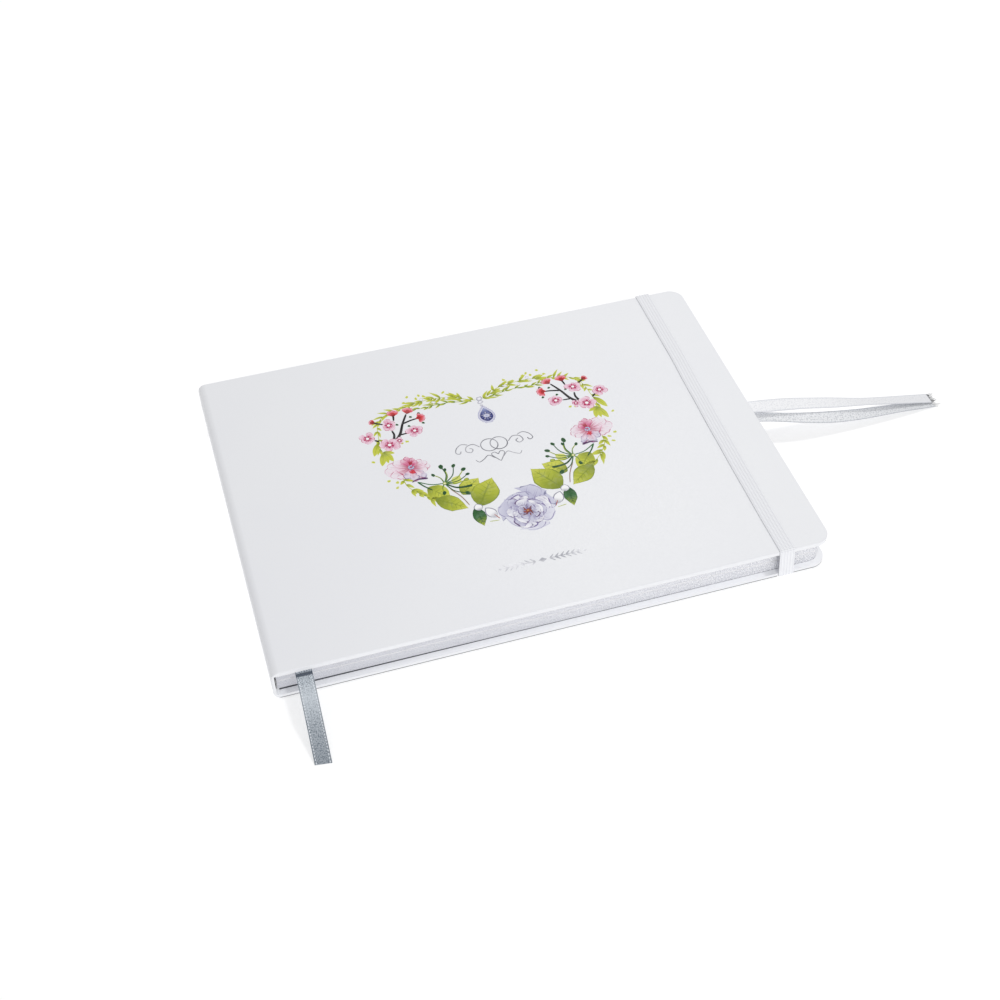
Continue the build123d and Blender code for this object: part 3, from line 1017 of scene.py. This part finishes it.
def petal(sheet, base, angle, length, width, inks, layer, vein_ink, veins=3, rim=0.0, seed=0,
          fullness=0.66, ruffle=0.16, bend=0.0):
    """A petal with thin veins fanning from its base, and a broken darker line along its rim."""
    blade(sheet, base, angle, length, width, inks, layer, bend, fullness, 0.15, 0.35, ruffle, seed)

    def inside(t, share):
        off = share * half_width(t, width, fullness, 0.75)
        return blade_point(base, angle, length, t, off, bend)

    for k in range(veins):
        share = (k + 0.5) / veins * 2 - 1 + 0.12 * clouded(k, 1, seed)
        reach = 0.74 + 0.16 * clouded(k, 4, seed)
        points = [inside(t, share * 0.8) for t in (0.06, reach * 0.5, reach)]
        stroke(sheet, points, (0.46, 0.18), vein_ink, layer + 0.3, blended(vein_ink, inks[1], 0.7), steps=3)
    if rim:
        around = [inside(t, -0.96) for t in (0.66, 0.8, 0.92)]
        around += [inside(t, 0.96) for t in (0.97, 0.86, 0.72)]
        first = 0 if clouded(seed, 2, 3) > 0 else 2
        stroke(sheet, around[first:first + 4], (0.2, rim), inks[3], layer + 0.4, vein_ink, steps=3)


def leaf(sheet, base, angle, length, width, inks, layer, bend=0.0, seed=0):
    """A broad leaf with its side veins drawn in."""
    blade(sheet, base, angle, length, width, inks, layer, bend, 0.46, rib=0.8, seed=seed, taper=1.15)
    for k in range(1, 6):
        for side in (-1, 1):
            points = [
                blade_point(base, angle, length, 0.08 + 0.13 * k + ahead,
                            side * out * half_width(0.1 + 0.14 * k, width, 0.46, 1.15), bend)
                for ahead, out in ((0.0, 0.04), (0.07, 0.45), (0.12, 0.85))
            ]
            stroke(sheet, points, (0.34, 0.14), inks[0], layer + 1, inks[1], steps=4)


SPOT_TURNS = 18


def spot(sheet, centre, radius, inks, layer, squash=1.0, angle=0.0, rough=0.0, seed=0,
         shares=(0, 0.6, 1)):
    """A round wash, its inks at those shares of the radius."""
    rows = []
    for k in range(SPOT_TURNS + 1):
        across, up = heading(360 * (k % SPOT_TURNS) / SPOT_TURNS)
        wobble = radius * (1 + rough * clouded(across * 2, up * 2, seed))
        rows.append([
            blade_point(centre, angle, max(share, 0.02) * wobble * across, 1,
                        max(share, 0.02) * wobble * up * squash)
            for share in shares
        ])
    sheet.patch(rows, [inks] * len(rows), layer)


# ---- the motifs of the wreath ----

def blossom(sheet, centre, radius, turn, layer, seed):
    """A five-petalled cherry blossom: pale petals round a deep pink star with a white eye."""
    for k in range(5):
        angle = turn + 72 * k + 14 * clouded(k, 0, seed)
        size = radius * (1.25 + 0.35 * clouded(k, 3, seed))
        inks = (PINK, PINK_PALE, PINK_WASH, PINK)
        petal(sheet, centre, angle, size, radius * 1.1, inks, layer, PINK_DEEP, rim=0.3, seed=seed + k)
    for k in range(5):
        inks = (PINK_DEEP, PINK_DEEP, PINK_DEEP, PINK)
        blade(sheet, centre, turn + 72 * k, radius * 0.68, radius * 0.4, inks, layer + 1, seed=seed + k)
    eye = (WHITE_PETAL, WHITE_PETAL, PINK_DEEP, PINK_DEEP)
    spot(sheet, centre, radius * 0.34, eye, layer + 2, shares=(0, 0.66, 0.8, 1))
    for k in range(5):
        tip = blade_point(centre, turn + 36 + 72 * k, radius, 0.6)
        spot(sheet, tip, 0.24, (VIOLET, PINK_DEEP), layer + 3, shares=(0, 1))


def bud(sheet, base, angle, size, open_share, layer, seed):
    """A blossom bud: red calyx, with pink petals showing by how far it is open."""
    pale = (RED, RED_SOFT, PINK_PALE, RED_SOFT)
    for swing in (-34, 34, 0):
        length = size * (0.9 + 0.7 * open_share)
        turn = angle + swing * open_share
        petal(sheet, base, turn, length, size * 0.95, pale, layer, RED, 2, 0.3, seed)
    deep = (BARK, RED, RED, RED_SOFT)
    blade(sheet, base, angle, size * 0.85, size * 0.85, deep, layer + 1, seed=seed + 3)


def open_pink(sheet, centre, size, angle, layer, seed):
    """A pink flower seen from the side."""
    inks = (RED, RED_SOFT, PINK_PALE, RED_SOFT)
    for k, swing in enumerate((-72, -40, -8, 24, 54, 82)):
        petal(sheet, centre, angle + swing, size, size * 0.6, inks, layer + k % 2, RED, 3, 0.3, seed + k)
    spot(sheet, centre, size * 0.36, (RED, RED, RED_SOFT), layer + 2, rough=0.3, shares=(0, 0.7, 1))


def sprig(sheet, points, leaf_length, leaf_width, inks, layer, spread=38.0, every=4, seed=0):
    """A thin stem with uneven curved leaflets along it, and one at its end."""
    stroke(sheet, points, (0.5, 0.35), inks[1], layer)
    route = smooth_route(points, 7)
    for k in range(2, len(route), every):
        for side in (1, -1):
            at = min(max(k + round(2 * clouded(k, side * 2, seed)), 1), len(route) - 2)
            (a, b), (c, d) = route[at - 1], route[at + 1]
            along = degrees(atan2(d - b, c - a))
            size = leaf_length * (1.08 + 0.6 * clouded(k, side * 3, seed))
            swing = spread * (1 + 0.7 * clouded(k, side * 5, seed + 9))
            if clouded(k, side * 7, seed) < 0.5:
                blade(sheet, route[at], along + side * swing, size, leaf_width, inks, layer + 1,
                      bend=-0.22 * side, fullness=0.4, rib=0.5, seed=seed + k, taper=1.1)
    blade(sheet, route[-1], along, leaf_length, leaf_width, inks, layer + 1, fullness=0.4, seed=seed)


def spray(sheet, centre, tips, layer, seed):
    """Curved green filaments from one point, a bead on each end."""
    for k, (u, v, size) in enumerate(tips):
        du, dv = u - centre[0], v - centre[1]
        bow = (centre[0] + du * 0.5 - dv * 0.14, centre[1] + dv * 0.5 + du * 0.14)
        end_ink = GREEN_DARK if k % 2 else GREEN_MID
        stroke(sheet, [centre, bow, (u, v)], (0.7, 0.42), GREEN_STEM, layer, end_ink)
        bead = GREEN_MID if k == 6 else GREEN_DARK
        angle = degrees(atan2(dv, du))
        spot(sheet, (u, v), 1.25 * size, (bead, bead, GREEN_STEM), layer + 1, 0.72, angle, 0.1, seed + k,
             (0, 0.7, 1))
    inks = (WHITE_PETAL, GREEN_PALE, GREEN_STEM)
    spot(sheet, centre, 1.1, inks, layer + 2, rough=0.15, seed=seed, shares=(0, 0.5, 1))


def peony(sheet, centre, layer, seed):
    """A side-on peony: pale veined outer petals, a deep pink heart and a violet lower lip."""
    u, v = centre
    outer = (PINK, PINK_WASH, PAPER_INK, PINK_PALE)
    blush = (PINK_DEEP, PINK, PINK_WASH, PINK)
    lower = (PINK, PINK_WASH, LILAC, VIOLET_GREY)
    plan = (
        (2, 14.4, 7.0, outer), (22, 13.0, 5.6, outer), (40, 11.0, 5.0, outer), (-18, 12.6, 5.6, outer),
        (-34, 10.6, 4.4, outer), (186, 10.2, 4.8, outer), (204, 9.0, 4.0, outer), (166, 9.4, 4.2, outer),
        (146, 8.0, 3.6, outer), (-58, 8.5, 4.8, lower), (-124, 10.5, 4.6, lower), (-90, 10.5, 5.0, lower),
        (84, 9.0, 3.8, blush), (108, 7.6, 3.2, blush), (62, 8.2, 3.2, blush), (130, 6.0, 2.6, blush),
    )
    for k, (angle, length, width, inks) in enumerate(plan):
        veins = 7 if width > 6 else 5
        petal(sheet, centre, angle, length, width, inks, layer + k * 0.5, PINK_DEEP, veins, 0.4, seed + k,
              0.7, 0.45)
    for k in range(26):
        angle = 360 * k / 26 + 12 * clouded(k, 2, seed)
        reach = 4.6 + 2.6 * clouded(k, 7, seed)
        ink = RED if k % 3 == 0 else PINK_DEEP
        ray(sheet, centre, angle, reach, 0.25, (0.7, 0.15), ink, layer + 6, PINK_PALE, 3)
    for swing in (-24, 4, 26):
        blade(sheet, (u, v + 1.6), 90 + swing, 4.2, 1.6, (PINK_DEEP, RED, PINK, PINK_DEEP), layer + 7)
    heart = (RED, RED_SOFT, PINK_DEEP)
    spot(sheet, (u + 0.2, v - 3.2), 1.5, heart, layer + 7, rough=0.5, seed=seed, shares=(0, 0.5, 1))
    for k in range(7):
        a, b = heading(360 * k / 7)
        bead = (u + a * 1.2, v + 0.4 + b * 1.1)
        spot(sheet, bead, 0.6, (WHITE_PETAL, BLUE_PALE, GREY_LINE), layer + 8)
    lip = [(u + 2.2, v - 10.4), (u - 1.2, v - 9.2), (u - 6.4, v - 9.9)]
    stroke(sheet, lip, (0.5, 1.3), VIOLET, layer + 7)
    stroke(sheet, [(u + 5.2, v - 4.0), (u + 8.6, v + 1.0)], (1.0, 0.2), PINK_DEEP, layer + 6, PINK_PALE)


def white_bud(sheet, centre, length, width, angle, layer, seed):
    """A closed white bud in a thin grey outline."""
    start = blade_point(centre, angle, length, -0.5)
    blade(sheet, start, angle, length * 1.08, width * 1.12, (GREY_LINE,) * 4, layer, seed=seed)
    inks = (GREY_LINE, WHITE_PETAL, WHITE_PETAL, WHITE_PETAL)
    blade(sheet, start, angle, length, width * 0.9, inks, layer + 1, seed=seed)


def lilac_rose(sheet, centre, layer):
    """The large open flower at the wreath's point: ruffled lilac petals, violet rims, orange heart."""
    chance = random.Random(5)
    soft = (LILAC_SHADE, LILAC_SHADE, LILAC, LILAC_SHADE)
    faded = (LILAC_SHADE, LILAC, LILAC_PALE, LILAC_SHADE)
    cool = (VIOLET_GREY, LILAC_SHADE, LILAC, VIOLET_GREY)
    pale = (LILAC_SHADE, LILAC, WHITE_PETAL, VIOLET_GREY)
    level = layer
    for angle, reach, width in ((118, 14.0, 13.0), (66, 19.0, 11.5), (160, 15.5, 10.5), (14, 16.5, 10.5),
                                (212, 12.5, 11.5), (334, 14.0, 11.0), (272, 14.0, 12.5), (92, 14.0, 12.0)):
        inks = faded if 180 < angle < 350 else soft
        petal(sheet, centre, angle, reach, width, inks, level, VIOLET_GREY, 6, 0.45, angle, 0.72, 0.8)
        level += 0.5
    rings = ((8, 12.4, 9.0, pale), (8, 10.2, 7.6, cool), (6, 8.0, 6.4, pale), (5, 5.6, 4.8, cool))
    for ring, (count, reach, width, inks) in enumerate(rings):
        for k in range(count):
            angle = 360 * (k + 0.5 * (ring % 2)) / count + chance.uniform(-24, 24)
            size = reach * chance.uniform(0.72, 1.12)
            foot = (centre[0] + chance.uniform(-1.3, 1.3), centre[1] + chance.uniform(-1.3, 1.3))
            petal(sheet, foot, angle, size, width * chance.uniform(0.6, 1.2), inks,
                  level + 0.5 * (k % 3), VIOLET_GREY if k % 3 == 0 else VIOLET, 4, 0.85, k + 10 * ring,
                  0.78, 0.4, chance.uniform(-0.16, 0.16))
        level += 1.4
    for k in range(18):
        foot = (centre[0] + chance.uniform(-1.6, 1.4), centre[1] + chance.uniform(-2.2, 1.2))
        ink = (ORANGE, VIOLET, UMBER)[k % 3]
        ray(sheet, foot, 57 * k, chance.uniform(1.4, 3.8), 0, (0.8, 0.4), ink, level + 1, UMBER)
    inks = (GREEN_PALE, ORANGE, UMBER)
    spot(sheet, centre, 0.9, inks, level + 2, rough=0.4, shares=(0, 0.5, 1))


def wreath_half(side_name, sign, seed):
    """One lobe of the heart; the other is its mirror image with its own small irregularities."""
    foliage = Print(f"print_foliage_{side_name}", sign)
    flowers = Print(f"print_flowers_{side_name}", sign)
    fresh = (GREEN_SHADE, GREEN_LEAF, GREEN_YELLOW, GREEN_YELLOW)
    olive = (GREEN_STEM, GREEN_MID, GREEN_LEAF, GREEN_YELLOW)
    leafy = (GREEN_SHADE, GREEN_MID, GREEN_YELLOW, GREEN_SHADE)
    deep = (GREEN_DARK, GREEN_STEM, GREEN_MID, GREEN_DARK)

    # vines along the top of the lobe and down its outer side
    sprig(foliage, [(2, 47.5), (8, 50.5), (12, 53.5), (20, 55), (28, 55.5), (36, 54.5)],
          4.8, 1.7, fresh, 2, every=3, seed=seed)
    sprig(foliage, [(4, 47), (10, 48.6), (17, 50), (25, 50.2), (32, 49.8), (38, 51)],
          4.2, 1.3, olive, 1, spread=30, seed=seed + 1)
    sprig(foliage, [(36, 54), (42, 53), (47, 52), (53, 50), (57, 46), (59, 41), (60, 34), (61, 25)],
          4.4, 1.5, fresh, 1, spread=44, seed=seed + 2)
    sprig(foliage, [(55, 1), (54.4, -5), (51.5, -10), (48.5, -13.5), (44, -18)],
          5.0, 2.0, fresh, 1, spread=46, seed=seed + 5)
    for u, v in ((24.5, 52.6), (17.0, 53.8), (30.5, 56.8)):
        spot(foliage, (u, v), 1.2, (WHITE_PETAL, LILAC_PALE, LILAC_SHADE), 4, 0.75, 9 * u, 0.4, seed + u)
    blade(foliage, (60.5, 30.8), -58, 10.8, 3.6, fresh, 3, bend=-0.08, rib=0.7, seed=seed)
    for angle, length, width in ((-76, 10.6, 3.8), (-97, 9.0, 2.6), (-116, 9.0, 3.4), (-158, 6.0, 2.4)):
        blade(foliage, (60, 23), angle, length, width, fresh, 3, bend=0.06, rib=0.7, seed=seed + length)
    for u, v in ((33, 58.3), (31, 60.4), (28.5, 59), (37.5, 61), (17.5, 58.8), (40.5, 57), (67, 17),
                 (62.5, 1), (59.5, -5), (58.5, -1.2), (46, 27), (49, 26.6)):
        inks = (GREEN_LEAF, GREEN_YELLOW, GREEN_PALE)
        spot(foliage, (u, v), 0.75, inks, 2, 1.4, 60 + 9 * u, 0.3, seed + u)
    for u, v in ((48, 41.2), (42, 38.3), (34, 38.5), (39.5, 45), (34.5, 46.6)):
        spot(foliage, (u, v), 0.75, (GREEN_DARK, GREEN_DARK, GREEN_STEM), 2, rough=0.3)

    # the leaves that carry the lower half
    for base, angle, length, width, inks, layer in (
        ((44.5, -9.6), -132, 15.0, 11.0, (GREEN_SHADE, GREEN_LEAF, GREEN_YELLOW, GREEN_LEAF), 2),
        ((28.6, -19.6), 138, 14.5, 11.0, (GREEN_SHADE, GREEN_YELLOW, GREEN_YELLOW, GREEN_SHADE), 3),
        ((30.8, -11.2), 127, 7.2, 5.2, (GREEN_LEAF, GREEN_PALE, GREEN_YELLOW, GREEN_YELLOW), 3),
        ((42.8, -19.0), -146, 18.0, 10.5, leafy, 4),
        ((22.0, -30), 120, 21.0, 15.0, leafy, 5),
        ((25, -30.6), -97, 13.6, 7.0, deep, 6),
    ):
        leaf(foliage, base, angle, length, width, inks, layer, bend=0.05, seed=seed + layer)
    foliage.finish(INK, "cover_paper")

    # branches with blossoms
    for points, widths in (
        ([(51.5, 29.5), (48, 34), (45, 41), (41.2, 48)], (1.8, 1.0)),
        ([(45, 41), (40, 42.4), (35, 43)], (1.2, 0.8)),
        ([(48.7, 33), (43.6, 33.3)], (1.1, 0.8)),
        ([(52.6, 30), (51.4, 34), (51.8, 37.5)], (1.5, 0.9)),
        ([(59.8, 46.2), (55, 43.4)], (1.2, 0.9)),
        ([(48.2, 49), (49, 44.6)], (1.2, 0.8)),
        ([(62.4, 33.0), (60.2, 31)], (1.2, 0.9)),
    ):
        stroke(flowers, points, widths, BARK, 4)
    blossoms = (52.5, 42, 3.5), (65.8, 35.3, 3.5), (40, 34, 3.5), (49.8, 28.8, 2.0), (55.6, 27.2, 4.0)
    for k, (u, v, radius) in enumerate(blossoms):
        blossom(flowers, (u, v), radius, 20 + 31 * k, 5 + k % 2, seed + 11 * k)
    bud(flowers, (59.2, 45.9), 35, 3.4, 0.2, 5, seed)
    bud(flowers, (48.3, 48.0), 92, 3.5, 0.8, 5, seed + 1)
    bud(flowers, (40.8, 48.0), 112, 3.6, 0.7, 5, seed + 2)
    open_pink(flowers, (35.4, 43.0), 3.7, 175, 5, seed + 4)

    # peony and spray
    peony(flowers, (49, 7), 8, seed)
    stroke(flowers, [(48.5, -4), (46, -8), (42.5, -12)], (0.9, 0.7), GREEN_STEM, 7, GREEN_DARK)
    stroke(flowers, [(48.5, -4), (42, -8), (35.5, -9)], (0.6, 0.5), GREEN_STEM, 7)
    spray(flowers, (35.3, -9.2), (
        (39.5, -1.6, 0.95), (34.0, 3.2, 1.35), (32.6, 0.4, 0.95), (27.5, 2.0, 1.05), (23.2, -2.0, 1.2),
        (22.0, -6.0, 0.95), (23.6, -9.6, 1.1), (25.6, -19.4, 1.3), (37.2, -15.8, 1.1),
    ), 8, seed)
    stroke(flowers, [(34.8, -9.8), (30.5, -13.6), (26, -14.6), (21.8, -14.5)], (0.7, 1.6), GREEN_DARK, 9)
    stroke(flowers, [(33.5, -14), (29.5, -21), (27.2, -28)], (0.6, 0.5), BROWN, 7)
    white_bud(flowers, (23.4, -31), 4.6, 4.4, 80, 9, seed)
    white_bud(flowers, (18, -36.6), 8.2, 5.2, 64, 9, seed + 1)
    stroke(flowers, [(20.5, -42), (15.5, -42.6)], (0.4, 0.25), GREEN_MID, 7)
    stroke(flowers, [(17, -38), (15, -41.5)], (0.4, 0.3), ORANGE, 11)
    flowers.finish(INK, "cover_paper")


def pendant():
    """A drop-shaped blue stone in a pale beaded setting, hung where the lobes meet."""
    jewel = Print("print_pendant")
    foot = (0.3, 28.0)
    halo = (LILAC, LILAC_PALE, LILAC, BLUE_PALE)
    blade(jewel, foot, 90, 14.0, 9.6, halo, 2, fullness=0.4, taper=0.95, ruffle=0.04)
    for k in range(11):
        t = (k + 0.5) / 11
        for side in (-1, 1):
            bead = blade_point(foot, 90, 14.0, t, side * 0.86 * half_width(t, 9.6, 0.4, 0.95), 0.0)
            spot(jewel, bead, 0.5, (WHITE_PETAL, LILAC_SHADE, VIOLET_GREY), 3, shares=(0, 0.7, 1))
    foot = (0.3, 29.4)
    stone = (NAVY, NAVY, BLUE_PALE, NAVY)
    blade(jewel, foot, 90, 10.6, 7.2, stone, 4, fullness=0.4, taper=0.95, ruffle=0.03)
    centre = (0.3, 33.8)
    for k in range(10):
        angle = 18 + 36 * k
        reach = 3.0 + 0.7 * abs(heading(angle)[1])
        ray(jewel, centre, angle, reach, 0.45, (0.6, 0.9), BLUE_PALE if k % 2 else LILAC_PALE, 5, NAVY, 3)
    spot(jewel, centre, 1.7, (BLUE_PALE, LILAC, NAVY), 5.5, 1.3, 90)
    spot(jewel, (-0.1, 34.4), 1.0, (WHITE_PETAL, LILAC_PALE, BLUE_PALE), 6, 1.5, 70)
    stroke(jewel, [(0.3, 41.4), (0.1, 43.6)], (0.5, 0.5), GREY_LINE, 3)
    for k, (u, v, size) in enumerate(((0.0, 45.2, 1.5), (0.3, 48.0, 1.8), (-0.1, 42.8, 0.8))):
        inks = (WHITE_PETAL, LILAC_PALE, GREY_LINE)
        spot(jewel, (u, v), size, inks, 4 + k, 0.85, 30 * k, 0.2, k, (0, 0.5, 1))
    jewel.finish(INK, "cover_paper")


# ---- silver foil: an ornament in place of a title, and a divider below the wreath ----

FOIL_CROWN = 0.03 * MM
RING_TURNS = 40


def foil_line(sheet, points, widths=(0.55, 0.55), layer=2, steps=10):
    stroke(sheet, points, widths, PAPER_INK, layer, crown=FOIL_CROWN, steps=steps)


def foil_ring(sheet, centre, radius, width, layer):
    rows = []
    for k in range(RING_TURNS + 1):
        angle = 360 * (k % RING_TURNS) / RING_TURNS
        rows.append([blade_point(centre, angle, radius + side * width / 2, 1) for side in (1, 0, -1)])
    sheet.patch(rows, [[PAPER_INK] * 3] * len(rows), layer, FOIL_CROWN)


def foil_diamond(sheet, centre, long, wide, layer=2):
    u, v = centre
    middle = [(u, v - wide / 2), (u, v), (u, v + wide / 2)]
    rows = [[(u - long / 2, v)] * 3, middle, [(u + long / 2, v)] * 3]
    rows = [[(a + 0.01 * c, b + 0.01 * (c - 1)) for c, (a, b) in enumerate(row)] for row in rows]
    sheet.patch(rows, [[PAPER_INK] * 3] * 3, layer, FOIL_CROWN)


ORNAMENT_MIDDLE = (-2.2, -3.4)
ORNAMENT_SCALE = 1.1


def placed(points, side=1):
    """The ornament's points where it lies on the cover, on one side of its middle or the other."""
    return [(ORNAMENT_MIDDLE[0] + ORNAMENT_SCALE * side * u, ORNAMENT_MIDDLE[1] + ORNAMENT_SCALE * v)
            for u, v in points]


def foil_ornament():
    """Two linked rings between scrolls, over a small heart."""
    title = Print("foil_ornament")
    for layer, ring in enumerate(placed([(-2.4, 13.6), (2.4, 13.6)])):
        foil_ring(title, ring, 4.2 * ORNAMENT_SCALE, 0.6, 2 + layer)
    scroll = [(7.2, 13.4), (10.0, 16.2), (13.4, 15.4), (14.4, 12.4), (12.2, 11.0), (10.9, 12.8),
              (12.3, 14.0)]
    curl = [(12.6, 16.6), (15.6, 17.6), (18.4, 15.6), (19.4, 12.6), (17.6, 11.6), (16.8, 13.2)]
    wave = [(2.2, 4.2), (4.8, 6.8), (7.6, 4.8), (10.2, 3.6), (11.6, 5.4)]
    half_heart = [(0.0, 1.4), (3.2, 6.6), (1.5, 8.0), (0.0, 6.2)]
    for side in (-1, 1):
        foil_line(title, placed(scroll, side))
        foil_line(title, placed(curl, side))
        foil_line(title, placed(wave, side), (0.55, 0.4))
        foil_line(title, placed(half_heart, side), (0.5, 0.5))
    title.finish(FOIL, "cover_paper")


def foil_divider():
    """A diamond between two rows of slim leaves."""
    divider = Print("foil_divider")
    middle = (-3.0, -74.6)
    foil_diamond(divider, middle, 4.4, 3.0)
    for side in (-1, 1):
        stem = [(middle[0] + side * u, middle[1]) for u in (3.4, 12.0, 20.4)]
        foil_line(divider, stem, (0.5, 0.4), 1, 4)
        for k in range(6):
            foot = (middle[0] + side * (3.8 + 2.8 * k), middle[1])
            for turn in (-38, 38):
                angle = 90 - 90 * side + turn
                leaflet = [blade_point(foot, angle, 3.2, t, bend=0.002 * turn) for t in (0.0, 0.5, 1.0)]
                foil_line(divider, leaflet, (1.25, 0.35), 2, 3)
        foil_diamond(divider, (middle[0] + side * 22.0, middle[1]), 1.8, 1.5)
    divider.finish(PALE_FOIL, "cover_paper")


def add_print():
    wreath_half("left", -1, 1)
    wreath_half("right", 1, 41)
    rose = Print("print_lilac_rose")
    lilac_rose(rose, (0.2, -40.5), 8)
    rose.finish(INK, "cover_paper")
    pendant()
    foil_ornament()
    foil_divider()


# ---- floor and lights ----

def add_floor():
    """A white sheet that glows a little, so that it stays as white as the light round the book."""
    points = [(-3, -3, 0), (3, -3, 0), (3, 3, 0), (-3, 3, 0)]
    graph = Graph("studio_floor", Roughness=0.9)
    haze = graph.noise(graph.place(), 3.0)
    graph.begin(haze, 0.3, 0.7, (201, 201, 202), (204, 204, 204))
    paper = graph.finish(Emission_Color=(255, 255, 255), Emission_Strength=0.435)
    floor = new_piece("studio_floor", points, [(0, 1, 2, 3)], [paper])
    floor.location.z = -0.06 * MM


def add_area_light(name, azimuth, elevation, distance, size, power, casters, floor=None):
    """A round soft light; only the casters throw its shadow.

    floor says whether it lights the floor alone (INCLUDE) or all but the floor (EXCLUDE).
    """
    data = bpy.data.lights.new(name, "AREA")
    data.shape = "DISK"
    data.size = size
    data.energy = power
    light = add_object(name, data)
    light.matrix_world = aimed((0, 0, 0), azimuth, elevation, distance)
    blockers = bpy.data.collections.new(f"{name}_casters")
    for caster in casters:
        blockers.objects.link(bpy.data.objects[caster])
    light.light_linking.blocker_collection = blockers
    if floor:
        receivers = bpy.data.collections.new(f"{name}_receivers")
        receivers.objects.link(bpy.data.objects["studio_floor"])
        receivers.collection_objects[0].light_linking.link_state = floor
        light.light_linking.receiver_collection = receivers


def add_lights():
    world = bpy.data.worlds.new("studio")
    world.use_nodes = True
    sky = world.node_tree.nodes["Background"].inputs
    sky["Color"].default_value = (1.0, 1.0, 1.0, 1.0)
    sky["Strength"].default_value = 0.62
    bpy.context.scene.world = world
    bands = ("elastic_closing_band", "bookmark_ribbon_satin", "marker_ribbon_high_satin",
             "marker_ribbon_low_satin")
    add_area_light("key_on_book", 153.0, 50.0, 2.0, 0.22, 10.0, bands, "EXCLUDE")
    add_area_light("key_on_floor", 153.0, 50.0, 2.0, 0.22, 12.0, bands[1:], "INCLUDE")
    add_area_light("front_fill", 8.0, 32.0, 1.7, 0.9, 8.4, bands[:1])


add_camera()
dress_cad_nodes()
add_pages()
add_elastic()
add_ribbons()
add_print()
add_floor()
add_lights()

bpy.context.scene.view_settings.view_transform = "Standard"
